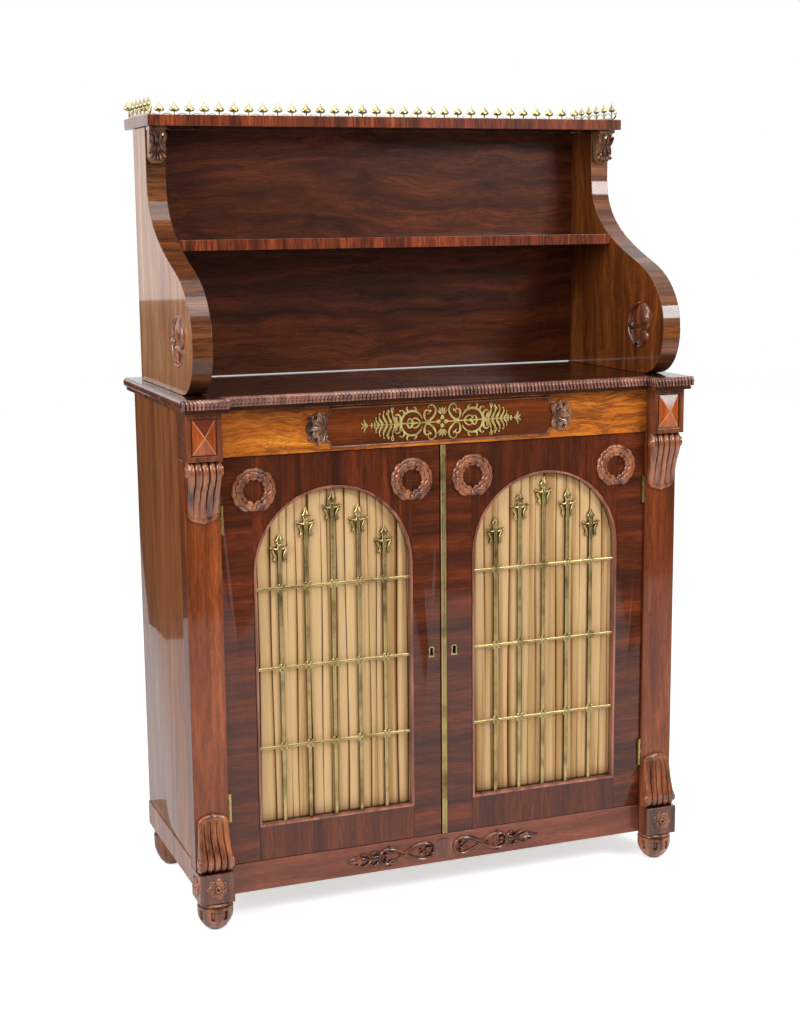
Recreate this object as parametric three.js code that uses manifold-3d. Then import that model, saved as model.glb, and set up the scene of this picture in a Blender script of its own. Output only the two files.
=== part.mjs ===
// A Regency rosewood chiffonier: a cupboard on turned feet with two grille doors lined with pleated
// silk, a counter with a gadrooned front edge, and above it a shelf unit with scroll-shaped ends and
// a brass gallery. Millimetres, +Z up. The front faces -Y, and the origin is on the floor under the
// middle of the whole piece. Depths are measured back from the front plane of the cap blocks, y = 0.

import * as THREE from "three";
import { mergeVertices } from "three/addons/utils/BufferGeometryUtils.js";
import Module from "manifold-3d";

const wasm = await Module();
wasm.setup();

// Handed pieces are built for the left side and mirrored for the right.
const LEFT = -1;
const RIGHT = 1;

// Fits
const FIT = 0.3; // between pieces that seat on each other
const OVERRUN = 1; // of a cutter past the face that it opens
const SINK = 1; // of applied work into the piece that it is one with

// Carcase
const CARCASE_WIDTH = 930;
const CARCASE_DEPTH = 389;
const PANEL_THICKNESS = 20; // side panels, frieze and apron
const BACK_THICKNESS = 10;
const FLOOR_THICKNESS = 18; // bottom board and interior shelf
const WALL_OVERHANG = 36; // of the counter and the top board behind the carcase
const PLINTH_PROUD = 2;
const PLINTH_HEIGHT = 45;
const SIDE_CLEARANCE = 72; // under the side panels
const SHELF_LEVEL = 455;
const SHELF_SETBACK = 95;

// Pilasters
const PILASTER_WIDTH = 60;
const BLOCK_DEPTH = 60;
const SHAFT_SETBACK = 27; // of the shaft behind the cap and rosette blocks
const ROSETTE_BLOCK_HEIGHT = 54;
const CAP_BLOCK_HEIGHT = 81;
const CAP_FRAME_SIDE = 8.5;
const CAP_FRAME_END = 9;
const CAP_RECESS = 3;
const CAP_MOAT = 2;
const DIAMOND_RISE = 8;
const ROSETTE_RADIUS = 18.5;
const ROSETTE_RELIEF = 5.5;
const ROSETTE_PETALS = 8;

// Reeded corbels
const REEDS = 5;
const REED_GROOVE = 3;
const CORBEL_REACH = 28; // of the roll in front of the shaft
const UPPER_CORBEL_HEIGHT = 91; // at its sides
const UPPER_CORBEL_CROWN = 17; // how far its round tip hangs lower
const LOWER_CORBEL_HEIGHT = 88;
const LOWER_CORBEL_CROWN = 14; // how far its round top stands higher
const CORBEL_TAPER = 0.1;
const ROLL_RADIUS = 10;
const CHEEK_PROUD = 2;

// Feet
const FOOT_HEIGHT = 52;
const FOOT_RADIUS = 31.5;
const FOOT_SETBACK = 26; // of its axis behind the block fronts
const BACK_FOOT_SETBACK = 36; // of its axis in front of the carcase's back
const FOOT_NOTCHES = 8;
const NOTCH_WIDTH = 6;
const NOTCH_DEPTH = 5;

// Frieze and apron
const FRIEZE_SETBACK = 29;
const FRIEZE_HEIGHT = 80;
const TABLET_WIDTH = 432;
const TABLET_HEIGHT = 64;
const TABLET_NOTCH = 12;
const TABLET_RECESS = 2;
const TABLET_BEAD = 4;
const LEAF_LENGTH = 48;
const LEAF_HEIGHT = 38;
const LEAF_RELIEF = 5;
const INLAY_THICKNESS = 1;
const INLAY_LENGTH = 308;
const INLAY_HEIGHT = 56;
const INLAY_LINE = 3;
const MOUNT_RELIEF = 7; // carved scrolls on the apron
const MOUNT_LENGTH = 168;
const MOUNT_OFFSET = 109; // from the middle of the apron to the middle of the scrolls

// Counter
const COUNTER_THICKNESS = 23;
const COUNTER_SIDE_REACH = 12;
const COUNTER_FRONT_REACH = 22;
const GADROON_DEPTH = 14;
const GADROON_PITCH = 6.85;
const LIP_HEIGHT = 6; // of the plain edge under the gadroons
const LIP_REACH = 9;

// Doors
const DOOR_HEIGHT = 718;
const DOOR_THICKNESS = 22;
const DOOR_SETBACK = 33;
const DOOR_GAP = 1;
const MEETING_GAP = 2;
const MEETING_OFFSET = 4; // of the gap to the left of the middle
const HINGE_STILE_WIDTH = 55;
const LOCK_STILE_REACH = 57; // from the middle of the piece to each opening
const BOTTOM_RAIL_HEIGHT = 60;
const TOP_RAIL_HEIGHT = 58; // above the crown of the arch
const REBATE_WIDTH = 10;
const REBATE_DEPTH = 11;
const BEAD_WIDTH = 4;
const BEAD_PROUD = 2;
const STRIP_WIDTH = 10;
const STRIP_PROUD = 3;
const STRIP_REEDS = 3;

// Silk
const PLEATS = 14;
const PLEAT_DEPTH = 5;
const SILK_THICKNESS = 1.2;

// Brass grille
const SPEARS = 5;
const ROD_WIDTH = 6.5;
const ROD_THICKNESS = 3;
const GRILLE_SETBACK = 3.5; // of the bars behind the door's face
const BAR_HEIGHT = 4.5;
const BAR_THICKNESS = 3;
const BAR_DROP = 28; // of the top bar below the foot of the arch
const BARS = 3;
const SPEAR_HALF_SPAN = 16;
const SPEAR_LENGTH = 59;
const TIP_DROP = 12; // of the middle spear below the crown of the arch
const STUD_RADIUS = 5.5;
const STUD_PROUD = 1.5;

// Wreaths
const WREATH_RADIUS = 28.7;
const WREATH_HALF_BAND = 10.2;
const WREATH_RELIEF = 8;
const WREATH_LEAVES = 10;
const WREATH_OUTER_INSET = 59; // from the door's hinge edge
const WREATH_INNER_REACH = 58; // from the middle of the piece
const WREATH_DROP = 59; // below the door's top

// Hinges
const HINGE_LENGTH = 51;
const HINGE_LEAF_WIDTH = 21;
const HINGE_LEAF_THICKNESS = 1.5;
const KNUCKLE_RADIUS = 2.7;
const KNUCKLES = 5;
const PIN_RADIUS = 1.1;
const PIN_PLAY = 0.3;
const HINGE_AXIS_INSET = 3; // from the pilaster's inner face towards the opening
const HINGE_AXIS_PROUD = 3; // in front of the door's face
const HINGE_MARGIN = 80; // from a door's end to the nearer end of its hinge

// Lock
const KEYHOLE_OFFSET = 22; // from the middle
const KEYHOLE_LEVEL = 349; // above the door's lower edge
const KEYHOLE_RADIUS = 6;
const KEYHOLE_LENGTH = 20;
const KEYHOLE_WALL = 2.4;
const KEYHOLE_PROUD = 1;
const LOCK_WIDTH = 46;
const LOCK_HEIGHT = 50;
const LOCK_DEPTH = 14.5;
const LOCK_PROUD = 0.5;
const BOLT_LENGTH = 30;
const BOLT_HEIGHT = 14;
const BOLT_THICKNESS = 6;
const BOLT_TRAVEL = 8;

// Superstructure
const END_HEIGHT = 448;
const END_THICKNESS = 35;
const END_INSET = 12; // of the scroll ends from the carcase's sides
const END_BACK_INSET = 13; // of their back edges from the carcase's back
const NECK_DEPTH = 94;
const END_REACH = 288; // of the belly in front of the neck
const UPPER_BACK_THICKNESS = 10;
const UPPER_BACK_GAP = 8; // between the back panel and the counter
const UPPER_SHELF_LEVEL = 235; // underside, above the counter
const UPPER_SHELF_THICKNESS = 19;
const UPPER_SHELF_REACH = 82; // in front of the necks
const TOP_THICKNESS = 19;
const TOP_SIDE_REACH = 4.5;
const TOP_FRONT_REACH = 44; // in front of the necks
const BRACKET_HEIGHT = 62;
const BRACKET_CROWN = 9; // of its round tip
const BRACKET_WIDTH = 32;
const BRACKET_REACH = 30;
const BOSS_LENGTH = 88;
const BOSS_WIDTH = 92;
const BOSS_RELIEF = 7;
const BOSS_LEVEL = 86; // above the counter
const BOSS_SETBACK = 92; // behind the belly's front

// Gallery
const GALLERY_INSET = 14; // from the top board's edges
const GALLERY_FRONT_INSET = 6;
const GALLERY_THICKNESS = 1.6;
const GALLERY_BAYS = 32; // along the back
const GALLERY_SIDE_BAYS = 5;
const GALLERY_RAIL = 4;
const GALLERY_POST = 3.4;
const GALLERY_RING = 2;
const FINIAL_LEVEL = 18;
const FINIAL_WIDTH = 17;
const FINIAL_HEIGHT = 15;
const GALLERY_SCROLL_RADIUS = 9;

// Facets
const ARC_STEPS = 10;
const CURL_STEPS = 3;
const ROUND_SIDES = 16;
const ROD_SIDES = 8;
const PIN_SIDES = 6;

// Places that follow from the sizes
const HALF_WIDTH = CARCASE_WIDTH / 2;
const PILASTER_INNER = HALF_WIDTH - PILASTER_WIDTH;
const PILASTER_MIDDLE = HALF_WIDTH - PILASTER_WIDTH / 2;
const PANEL_INNER = HALF_WIDTH - PANEL_THICKNESS;
const APRON_TOP = FOOT_HEIGHT + ROSETTE_BLOCK_HEIGHT;
const DOOR_BOTTOM = APRON_TOP + DOOR_GAP;
const DOOR_TOP = DOOR_BOTTOM + DOOR_HEIGHT;
const DOOR_BACK = DOOR_SETBACK + DOOR_THICKNESS;
const FRIEZE_BOTTOM = DOOR_TOP + DOOR_GAP;
const CARCASE_TOP = FRIEZE_BOTTOM + FRIEZE_HEIGHT;
const CAP_BOTTOM = CARCASE_TOP - CAP_BLOCK_HEIGHT;
const COUNTER_TOP = CARCASE_TOP + COUNTER_THICKNESS;
const BACK_FRONT = CARCASE_DEPTH - BACK_THICKNESS;
const WALL_LINE = CARCASE_DEPTH + WALL_OVERHANG;
const DOOR_OUTER = PILASTER_INNER - DOOR_GAP;
const OPENING_HALF = (DOOR_OUTER - HINGE_STILE_WIDTH - LOCK_STILE_REACH) / 2;
const OPENING_OFFSET = LOCK_STILE_REACH + OPENING_HALF; // of each opening's middle from the middle
const OPENING_BOTTOM = DOOR_BOTTOM + BOTTOM_RAIL_HEIGHT;
const ARCH_CENTRE = DOOR_TOP - TOP_RAIL_HEIGHT - OPENING_HALF;
const SPEAR_PITCH = (2 * OPENING_HALF - BEAD_WIDTH) / (SPEARS + 1);
const BAR_PITCH = (ARCH_CENTRE - BAR_DROP - OPENING_BOTTOM) / BARS;
const HINGE_AXIS_X = PILASTER_INNER - HINGE_AXIS_INSET;
const HINGE_AXIS_Y = DOOR_SETBACK - HINGE_AXIS_PROUD;
const HINGE_LEVELS = [DOOR_BOTTOM + HINGE_MARGIN, DOOR_TOP - HINGE_MARGIN - HINGE_LENGTH];
const KEYHOLE_Z = DOOR_BOTTOM + KEYHOLE_LEVEL;
const REBATE_FRONT = DOOR_BACK - REBATE_DEPTH;
const END_OUTER = HALF_WIDTH - END_INSET;
const END_INNER = END_OUTER - END_THICKNESS;
const END_BACK = CARCASE_DEPTH - END_BACK_INSET;
const NECK_FRONT = END_BACK - NECK_DEPTH;
const BELLY_FRONT = NECK_FRONT - END_REACH;
const UPPER_BACK_FRONT = END_BACK - UPPER_BACK_THICKNESS;
const TOP_BOTTOM = COUNTER_TOP + END_HEIGHT;
const TOP_SURFACE = TOP_BOTTOM + TOP_THICKNESS;
const TOP_HALF = END_OUTER + TOP_SIDE_REACH;
const TOP_FRONT = NECK_FRONT - TOP_FRONT_REACH;
const MIDDLE_DEPTH = (WALL_LINE - COUNTER_FRONT_REACH) / 2;

// Helpers: solids from outlines, rings and turned profiles

const ACROSS = new THREE.Vector3(1, 0, 0);
const BACKWARD = new THREE.Vector3(0, 1, 0);
const UPWARD = new THREE.Vector3(0, 0, 1);
const point = (x, y, z) => new THREE.Vector3(x, y, z);

// The same surface with shared corners, no flat triangles, and its faces pointing out.
function closed(geometry) {
  const bare = new THREE.BufferGeometry().setAttribute("position", geometry.getAttribute("position"));
  if (geometry.index) bare.setIndex(geometry.index);
  const merged = mergeVertices(bare);
  const place = merged.getAttribute("position");
  const corner = (i) => new THREE.Vector3().fromBufferAttribute(place, i);
  const order = [];
  let volume = 0;
  for (let i = 0; i < merged.index.count; i += 3) {
    const [a, b, c] = [0, 1, 2].map((k) => merged.index.getX(i + k));
    if (a === b || b === c || c === a) continue;
    order.push(a, b, c);
    volume += corner(a).dot(corner(b).cross(corner(c)));
  }
  if (volume < 0) order.reverse();
  return merged.setIndex(order);
}

function solidOf(geometry) {
  const shell = closed(geometry);
  const mesh = new wasm.Mesh({
    numProp: 3,
    vertProperties: new Float32Array(shell.getAttribute("position").array),
    triVerts: new Uint32Array(shell.index.array),
  });
  return new wasm.Manifold(mesh);
}

function geometryOf(solid) {
  const mesh = solid.getMesh();
  return new THREE.BufferGeometry()
    .setAttribute("position", new THREE.BufferAttribute(mesh.vertProperties, 3))
    .setIndex(new THREE.BufferAttribute(mesh.triVerts, 1));
}

const join = (...pieces) => geometryOf(pieces.map(solidOf).reduce((whole, piece) => whole.add(piece)));

const cut = (piece, ...tools) =>
  geometryOf(tools.map(solidOf).reduce((left, tool) => left.subtract(tool), solidOf(piece)));

const mirrored = (geometry) => closed(geometry.clone().scale(-1, 1, 1));

const handed = (side, geometry) => (side === LEFT ? geometry : mirrored(geometry));

function block([x0, x1], [y0, y1], [z0, z1]) {
  const geometry = new THREE.BoxGeometry();
  const place = geometry.getAttribute("position");
  for (let i = 0; i < place.count; i++) {
    const x = place.getX(i) < 0 ? x0 : x1;
    const y = place.getY(i) < 0 ? y0 : y1;
    const z = place.getZ(i) < 0 ? z0 : z1;
    place.setXYZ(i, x, y, z);
  }
  return geometry;
}

const outline = (corners) => new THREE.Shape(corners.map(([a, b]) => new THREE.Vector2(a, b)));

function extruded(shape, depth, steps, ways) {
  const settings = { depth, bevelEnabled: false, curveSegments: steps };
  const geometry = new THREE.ExtrudeGeometry(shape, settings);
  return closed(geometry.applyMatrix4(new THREE.Matrix4().makeBasis(...ways)));
}

// Drawn in x and z, and runs back from its front.
const frontBoard = (shape, front, depth, steps = ARC_STEPS) =>
  extruded(shape, depth, steps, [ACROSS, UPWARD, BACKWARD]).translate(0, front, 0);

// Drawn in y and z, and runs to the right from its left face.
const sideBoard = (shape, left, depth, steps = ARC_STEPS) =>
  extruded(shape, depth, steps, [BACKWARD, UPWARD, ACROSS]).translate(left, 0, 0);

// Drawn in x and y, and runs up from its underside.
const flatBoard = (shape, bottom, depth, steps = ARC_STEPS) =>
  extruded(shape, depth, steps, [ACROSS, BACKWARD, UPWARD]).translate(0, 0, bottom);

// A skin through rings with equal numbers of points, closed on itself or with capped ends.
function loft(rings, endless = false) {
  const size = rings[0].length;
  const points = rings.flat();
  const order = [];
  const spans = endless ? rings.length : rings.length - 1;
  for (let i = 0; i < spans; i++) {
    const here = i * size;
    const next = ((i + 1) % rings.length) * size;
    for (let k = 0; k < size; k++) {
      const after = (k + 1) % size;
      order.push(here + k, here + after, next + after, here + k, next + after, next + k);
    }
  }
  const cap = (ring, start, reverse) => {
    const middle = points.length;
    points.push(ring.reduce((sum, p) => sum.add(p), new THREE.Vector3()).divideScalar(size));
    for (let k = 0; k < size; k++) {
      const after = (k + 1) % size;
      order.push(middle, start + (reverse ? after : k), start + (reverse ? k : after));
    }
  };
  if (!endless) {
    cap(rings[0], 0, true);
    cap(rings[rings.length - 1], (rings.length - 1) * size, false);
  }
  return closed(new THREE.BufferGeometry().setFromPoints(points).setIndex(order));
}

// Turned about the z axis, from pairs of radius and height that start and end on the axis.
function turned(profile, sides = ROUND_SIDES) {
  const points = profile.map(([radius, height]) => new THREE.Vector2(radius, height));
  const geometry = new THREE.LatheGeometry(points, sides);
  return closed(geometry.applyMatrix4(new THREE.Matrix4().makeBasis(ACROSS, UPWARD, BACKWARD)));
}

const rod = (radius, bottom, top, sides = ROD_SIDES) =>
  turned([[0, bottom], [radius, bottom], [radius, top], [0, top]], sides);

// Raised work on a plane: its outline stands on the plane and draws in towards a flat crest.
function mound(corners, relief, crestShare) {
  const sums = corners.reduce(([a, b], [c, d]) => [a + c, b + d], [0, 0]);
  const middle = sums.map((sum) => sum / corners.length);
  const ring = (share, height) =>
    corners.map((corner) => {
      const [a, b] = corner.map((place, k) => middle[k] + (place - middle[k]) * share);
      return point(a, b, height);
    });
  return loft([ring(1, -SINK), ring(1, relief / 3), ring(crestShare, relief)]);
}

// Work made on the xy plane with its crest up, turned to face the front or the left.
const facingFront = (geometry, x, y, z) =>
  closed(geometry.applyMatrix4(new THREE.Matrix4().makeBasis(ACROSS, UPWARD, BACKWARD.clone().negate())))
    .translate(x, y, z);

const facingLeft = (geometry, x, y, z) =>
  closed(geometry.applyMatrix4(new THREE.Matrix4().makeBasis(BACKWARD, UPWARD, ACROSS.clone().negate())))
    .translate(x, y, z);

const facingRight = (geometry, x, y, z) =>
  closed(geometry.applyMatrix4(new THREE.Matrix4().makeBasis(BACKWARD, UPWARD, ACROSS))).translate(x, y, z);

// Materials
const finish = (color, roughness, metalness = 0) =>
  new THREE.MeshStandardMaterial({ color, roughness, metalness, flatShading: true });

const rosewood = finish(0x5b2c1a, 0.32);
const carvedRosewood = finish(0x4a2718, 0.4);
const goldenRosewood = finish(0xa8571f, 0.32);
const secondaryWood = finish(0x8a6a48, 0.75);
const brass = finish(0xc9a765, 0.3, 1);
const silk = finish(0xd9b184, 0.6);
const iron = finish(0x4a4a48, 0.5, 1);

// Carcase boards

function sidePanel() {
  const depth = [BLOCK_DEPTH + FIT, CARCASE_DEPTH];
  const panel = block([-HALF_WIDTH, -PANEL_INNER], depth, [SIDE_CLEARANCE, CARCASE_TOP - FIT]);
  const band = [SIDE_CLEARANCE, SIDE_CLEARANCE + PLINTH_HEIGHT];
  return join(panel, block([-HALF_WIDTH - PLINTH_PROUD, -HALF_WIDTH + SINK], depth, band));
}

const innerSpan = [-PANEL_INNER + FIT, PANEL_INNER - FIT];

const carcaseBack = () => block(innerSpan, [BACK_FRONT, CARCASE_DEPTH], [SIDE_CLEARANCE, CARCASE_TOP - FIT]);

function innerBoard(front, level) {
  return block(innerSpan, [front, BACK_FRONT - FIT], [level, level + FLOOR_THICKNESS]);
}

// The bottom board reaches forwards between the pilasters to the apron.
function bottomBoard() {
  const level = APRON_TOP - FLOOR_THICKNESS;
  const tongueFront = DOOR_SETBACK + PANEL_THICKNESS + FIT;
  const boardFront = BLOCK_DEPTH + FIT;
  const tongue = block(railSpan, [tongueFront, boardFront + SINK], [level, level + FLOOR_THICKNESS]);
  return join(innerBoard(boardFront, level), tongue);
}

// Pilasters

// A flower of rounded petals with a drilled centre.
function rosette() {
  const corners = ROSETTE_PETALS * 2;
  const ring = (radiusShare, heightShare, waveShare) =>
    Array.from({ length: corners }, (_, k) => {
      const angle = (k * 2 * Math.PI) / corners;
      const radius = ROSETTE_RADIUS * radiusShare * (k % 2 ? 1 - waveShare : 1);
      return point(radius * Math.cos(angle), radius * Math.sin(angle), ROSETTE_RELIEF * heightShare);
    });
  const ringShares = [
    [1, 0.3, 0.16],
    [0.78, 0.9, 0.12],
    [0.42, 0.5, 0.06],
    [0.28, 1, 0],
    [0.12, 0.4, 0],
  ];
  const base = ring(1, 0, ringShares[0][2]).map((p) => p.setZ(-SINK));
  return loft([base, ...ringShares.map((shares) => ring(...shares))]);
}

// Four flat sides that rise from a rectangle to a point.
function diamondPoint([x0, x1], [z0, z1], base, apex) {
  const middle = point((x0 + x1) / 2, apex, (z0 + z1) / 2);
  const ring = [[x0, z0], [x1, z0], [x1, z1], [x0, z1]].map(([x, z]) => point(x, base, z));
  const points = [...ring, middle];
  const order = [0, 1, 4, 1, 2, 4, 2, 3, 4, 3, 0, 4, 0, 2, 1, 0, 3, 2];
  return closed(new THREE.BufferGeometry().setFromPoints(points).setIndex(order));
}

function hingePockets(leafFace, intoWood) {
  const reach = intoWood * (HINGE_LEAF_THICKNESS + FIT);
  const x = [leafFace - intoWood * OVERRUN, leafFace + reach].sort((a, b) => a - b);
  const y = [SHAFT_SETBACK - OVERRUN, HINGE_AXIS_Y + HINGE_LEAF_WIDTH + FIT];
  return HINGE_LEVELS.map((level) => block(x, y, [level - FIT, level + HINGE_LENGTH + FIT]));
}

function pilaster() {
  const x = [-HALF_WIDTH, -PILASTER_INNER];
  const whole = join(
    block(x, [SHAFT_SETBACK, BLOCK_DEPTH], [FOOT_HEIGHT, CARCASE_TOP - FIT]),
    block(x, [0, BLOCK_DEPTH], [CAP_BOTTOM, CARCASE_TOP - FIT]),
    block(x, [0, BLOCK_DEPTH], [FOOT_HEIGHT, APRON_TOP]),
  );
  const recessX = [-HALF_WIDTH + CAP_FRAME_SIDE, -PILASTER_INNER - CAP_FRAME_SIDE];
  const recessZ = [CAP_BOTTOM + CAP_FRAME_END, CARCASE_TOP - CAP_FRAME_END];
  const recess = block(recessX, [-OVERRUN, CAP_RECESS], recessZ);
  const inside = ([low, high]) => [low + CAP_MOAT, high - CAP_MOAT];
  const diamond = diamondPoint(inside(recessX), inside(recessZ), CAP_RECESS + SINK, CAP_RECESS - DIAMOND_RISE);
  const rosetteZ = FOOT_HEIGHT + ROSETTE_BLOCK_HEIGHT / 2;
  return join(
    cut(whole, recess, ...hingePockets(-PILASTER_INNER, -1)),
    diamond,
    facingFront(rosette(), -PILASTER_MIDDLE, 0, rosetteZ),
    facingLeft(rosette(), -HALF_WIDTH, BLOCK_DEPTH / 2, rosetteZ),
  );
}

// Reeded scrolls: flat against what carries them, with reeds down the front

// Each row gives a share of the height from the flat end, and the shares of reach and of half width there.
function reededScroll({ middle, back, start, way, height, crown, half, reach, reeds, groove, rows }) {
  const rings = rows.map(([share, reachShare, widthShare]) => {
    const halfHere = half * widthShare;
    const level = (u) => start + way * (share * height + crown * share ** 3 * Math.sqrt(1 - u * u));
    const front = Array.from({ length: 2 * reeds + 1 }, (_, k) => {
      const u = k / reeds - 1;
      const hollow = k % 2 ? 0 : groove * reachShare;
      return point(middle + halfHere * u, back - reach * reachShare + hollow, level(Math.abs(u)));
    });
    return [...front, point(middle + halfHere, back, level(1)), point(middle - halfHere, back, level(1))];
  });
  return loft(rings);
}

const upperCorbelShares = [
  [0, 0.68],
  [0.1, 0.88],
  [0.23, 1],
  [0.34, 0.95],
  [0.46, 0.74],
  [0.6, 0.5],
  [0.8, 0.3],
  [1, 0.08],
];
const lowerCorbelShares = [
  [0, 0.72],
  [0.1, 0.94],
  [0.24, 1],
  [0.4, 0.86],
  [0.58, 0.6],
  [0.76, 0.42],
  [0.9, 0.3],
  [1, 0.1],
];

// The roll of the scroll shows as a round cheek on each side.
function cheekRoll(level) {
  const half = PILASTER_WIDTH / 2 + CHEEK_PROUD;
  const roll = rod(ROLL_RADIUS, -half, half).rotateY(Math.PI / 2);
  const front = SHAFT_SETBACK - FIT - CORBEL_REACH + REED_GROOVE + SINK;
  return roll.translate(-PILASTER_MIDDLE, front + ROLL_RADIUS, level);
}

function corbel(start, way, height, crown, shares) {
  const rows = shares.map(([share, reachShare]) => [share, reachShare, 1 - CORBEL_TAPER * share]);
  const scroll = reededScroll({
    middle: -PILASTER_MIDDLE,
    back: SHAFT_SETBACK - FIT,
    start,
    way,
    height,
    crown,
    half: PILASTER_WIDTH / 2,
    reach: CORBEL_REACH,
    reeds: REEDS,
    groove: REED_GROOVE,
    rows,
  });
  const rollShare = shares.find(([, reachShare]) => reachShare === 1)[0];
  return join(scroll, cheekRoll(start + way * rollShare * height));
}

const upperCorbel = () =>
  corbel(CAP_BOTTOM - FIT, -1, UPPER_CORBEL_HEIGHT, UPPER_CORBEL_CROWN, upperCorbelShares);

const lowerCorbel = () =>
  corbel(APRON_TOP + FIT, 1, LOWER_CORBEL_HEIGHT, LOWER_CORBEL_CROWN, lowerCorbelShares);

// Feet

const frontFootShares = [
  [0, 0],
  [0.3, 0],
  [0.52, 0.09],
  [0.78, 0.32],
  [0.93, 0.6],
  [0.94, 0.76],
  [0.85, 0.82],
  [1, 0.88],
  [0.98, 0.96],
  [0.84, 1],
  [0, 1],
];
const backFootShares = [
  [0, 0],
  [0.3, 0],
  [0.62, 0.14],
  [0.95, 0.5],
  [0.85, 0.68],
  [1, 0.76],
  [0.9, 1],
  [0, 1],
];

// Where the upright notches round a front foot start and end, as shares of its height.
const notchShares = [0.45, 0.74];

function turnedFoot(shares, height, setback) {
  const profile = shares.map(([across, up]) => [FOOT_RADIUS * across, height * up]);
  return turned(profile).translate(-PILASTER_MIDDLE, setback, 0);
}

function frontFoot() {
  const height = FOOT_HEIGHT - FIT;
  const [low, high] = notchShares.map((share) => share * height);
  const notches = Array.from({ length: FOOT_NOTCHES }, (_, k) => {
    const half = NOTCH_WIDTH / 2;
    const slot = block([FOOT_RADIUS - NOTCH_DEPTH, FOOT_RADIUS], [-half, half], [low, high]);
    const turn = ((k + 1 / 2) * 2 * Math.PI) / FOOT_NOTCHES;
    return slot.rotateZ(turn).translate(-PILASTER_MIDDLE, FOOT_SETBACK, 0);
  });
  return cut(turnedFoot(frontFootShares, height, FOOT_SETBACK), ...notches);
}

const backFoot = () => turnedFoot(backFootShares, SIDE_CLEARANCE - FIT, CARCASE_DEPTH - BACK_FOOT_SETBACK);

// Frieze and apron

const railSpan = [-PILASTER_INNER + FIT, PILASTER_INNER - FIT];
const FRIEZE_MIDDLE = FRIEZE_BOTTOM + FRIEZE_HEIGHT / 2;

// A long panel whose four corners are cut in by quarter rounds.
function cuspedTablet() {
  const x = TABLET_WIDTH / 2;
  const [bottom, top] = [-1, 1].map((side) => FRIEZE_MIDDLE + (side * TABLET_HEIGHT) / 2);
  const quarter = Math.PI / 2;
  const shape = new THREE.Shape().moveTo(-x + TABLET_NOTCH, bottom).lineTo(x - TABLET_NOTCH, bottom);
  shape.absarc(x, bottom, TABLET_NOTCH, 2 * quarter, quarter, true);
  shape.absarc(x, top, TABLET_NOTCH, -quarter, -2 * quarter, true);
  shape.absarc(-x, top, TABLET_NOTCH, 0, -quarter, true);
  shape.absarc(-x, bottom, TABLET_NOTCH, quarter, 0, true);
  return shape;
}

// A leaf of five lobes that points along +x, as shares of its length and height.
const leafShares = [
  [-0.5, 0.2],
  [-0.44, 0.46],
  [-0.24, 0.4],
  [-0.06, 0.5],
  [0.1, 0.37],
  [0.32, 0.32],
  [0.5, 0],
  [0.32, -0.32],
  [0.1, -0.37],
  [-0.06, -0.5],
  [-0.24, -0.4],
  [-0.44, -0.46],
  [-0.5, -0.2],
];
const leafCrestShare = 0.5; // of its outline that its crest fills
const leaf = (length, height, relief) =>
  mound(leafShares.map(([a, b]) => [a * length, b * height]), relief, leafCrestShare);

function friezeRail() {
  const depth = [FRIEZE_SETBACK, FRIEZE_SETBACK + PANEL_THICKNESS];
  const rail = block(railSpan, depth, [FRIEZE_BOTTOM, CARCASE_TOP - FIT]);
  const sunk = frontBoard(cuspedTablet(), FRIEZE_SETBACK - OVERRUN, TABLET_RECESS + OVERRUN, CURL_STEPS);
  const beadHalf = TABLET_WIDTH / 2 - TABLET_NOTCH;
  const beads = [-1, 1].map((way) => {
    const z = FRIEZE_MIDDLE + way * (TABLET_HEIGHT + TABLET_BEAD) / 2;
    return rod(TABLET_BEAD / 2, -beadHalf, beadHalf).rotateY(Math.PI / 2).translate(0, FRIEZE_SETBACK, z);
  });
  const leaves = [LEFT, RIGHT].map((side) => {
    const carving = leaf(LEAF_LENGTH, LEAF_HEIGHT, LEAF_RELIEF).translate(TABLET_WIDTH / 2 + LEAF_LENGTH / 2, 0, 0);
    const rightLeaf = facingFront(carving, 0, FRIEZE_SETBACK, FRIEZE_MIDDLE);
    return side === RIGHT ? rightLeaf : mirrored(rightLeaf);
  });
  return join(cut(rail, sunk), ...beads, ...leaves);
}

// A part of a flat ring, as a shape.
function band(x, y, radius, width, start, end) {
  const shape = new THREE.Shape();
  shape.absarc(x, y, radius + width / 2, start, end, false);
  shape.absarc(x, y, radius - width / 2, end, start, true);
  return shape;
}

// One quarter of the inlay as shares of its half length and half height:
// middle, radius, and the two ends of each curl in quarter turns.
const curlShares = [
  [0.11, 0.46, 0.44, -1.3, 1.9],
  [0.37, 0, 0.76, 0, 2],
  [0.54, 0.38, 0.42, -1.2, 1.8],
];
// Blades of the end sprays: where each leaves the stem, its length, and its lean in quarter turns.
const bladeShares = [
  [0.56, 1.1, 0.7],
  [0.66, 1.05, 0.62],
  [0.76, 0.8, 0.54],
  [0.95, 0.5, 0.62],
];

// The outline of a blade, as shares of its length and of the line's width.
const bladeOutlineShares = [
  [0, -0.5],
  [0.5, -0.67],
  [1, 0],
  [0.5, 0.67],
  [0, 0.5],
];

function inlayQuarter(flipX, flipY) {
  const [halfLength, halfHeight] = [INLAY_LENGTH / 2, INLAY_HEIGHT / 2];
  const quarter = Math.PI / 2;
  const curls = curlShares.map(([x, y, radius, start, end]) => {
    const [from, to] = [start * quarter, end * quarter];
    const shape = band(x * halfLength, y * halfHeight, radius * halfHeight, INLAY_LINE, from, to);
    return flatBoard(shape, 0, INLAY_THICKNESS, CURL_STEPS);
  });
  const blades = bladeShares.map(([x, length, lean]) => {
    const reach = length * halfHeight;
    const corners = bladeOutlineShares.map(([along, across]) => [along * reach, across * INLAY_LINE]);
    const blade = flatBoard(outline(corners), 0, INLAY_THICKNESS);
    return blade.rotateZ(lean * quarter).translate(x * halfLength, 0, 0);
  });
  return [...curls, ...blades].map((piece) => closed(piece.scale(flipX, flipY, 1)));
}

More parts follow.
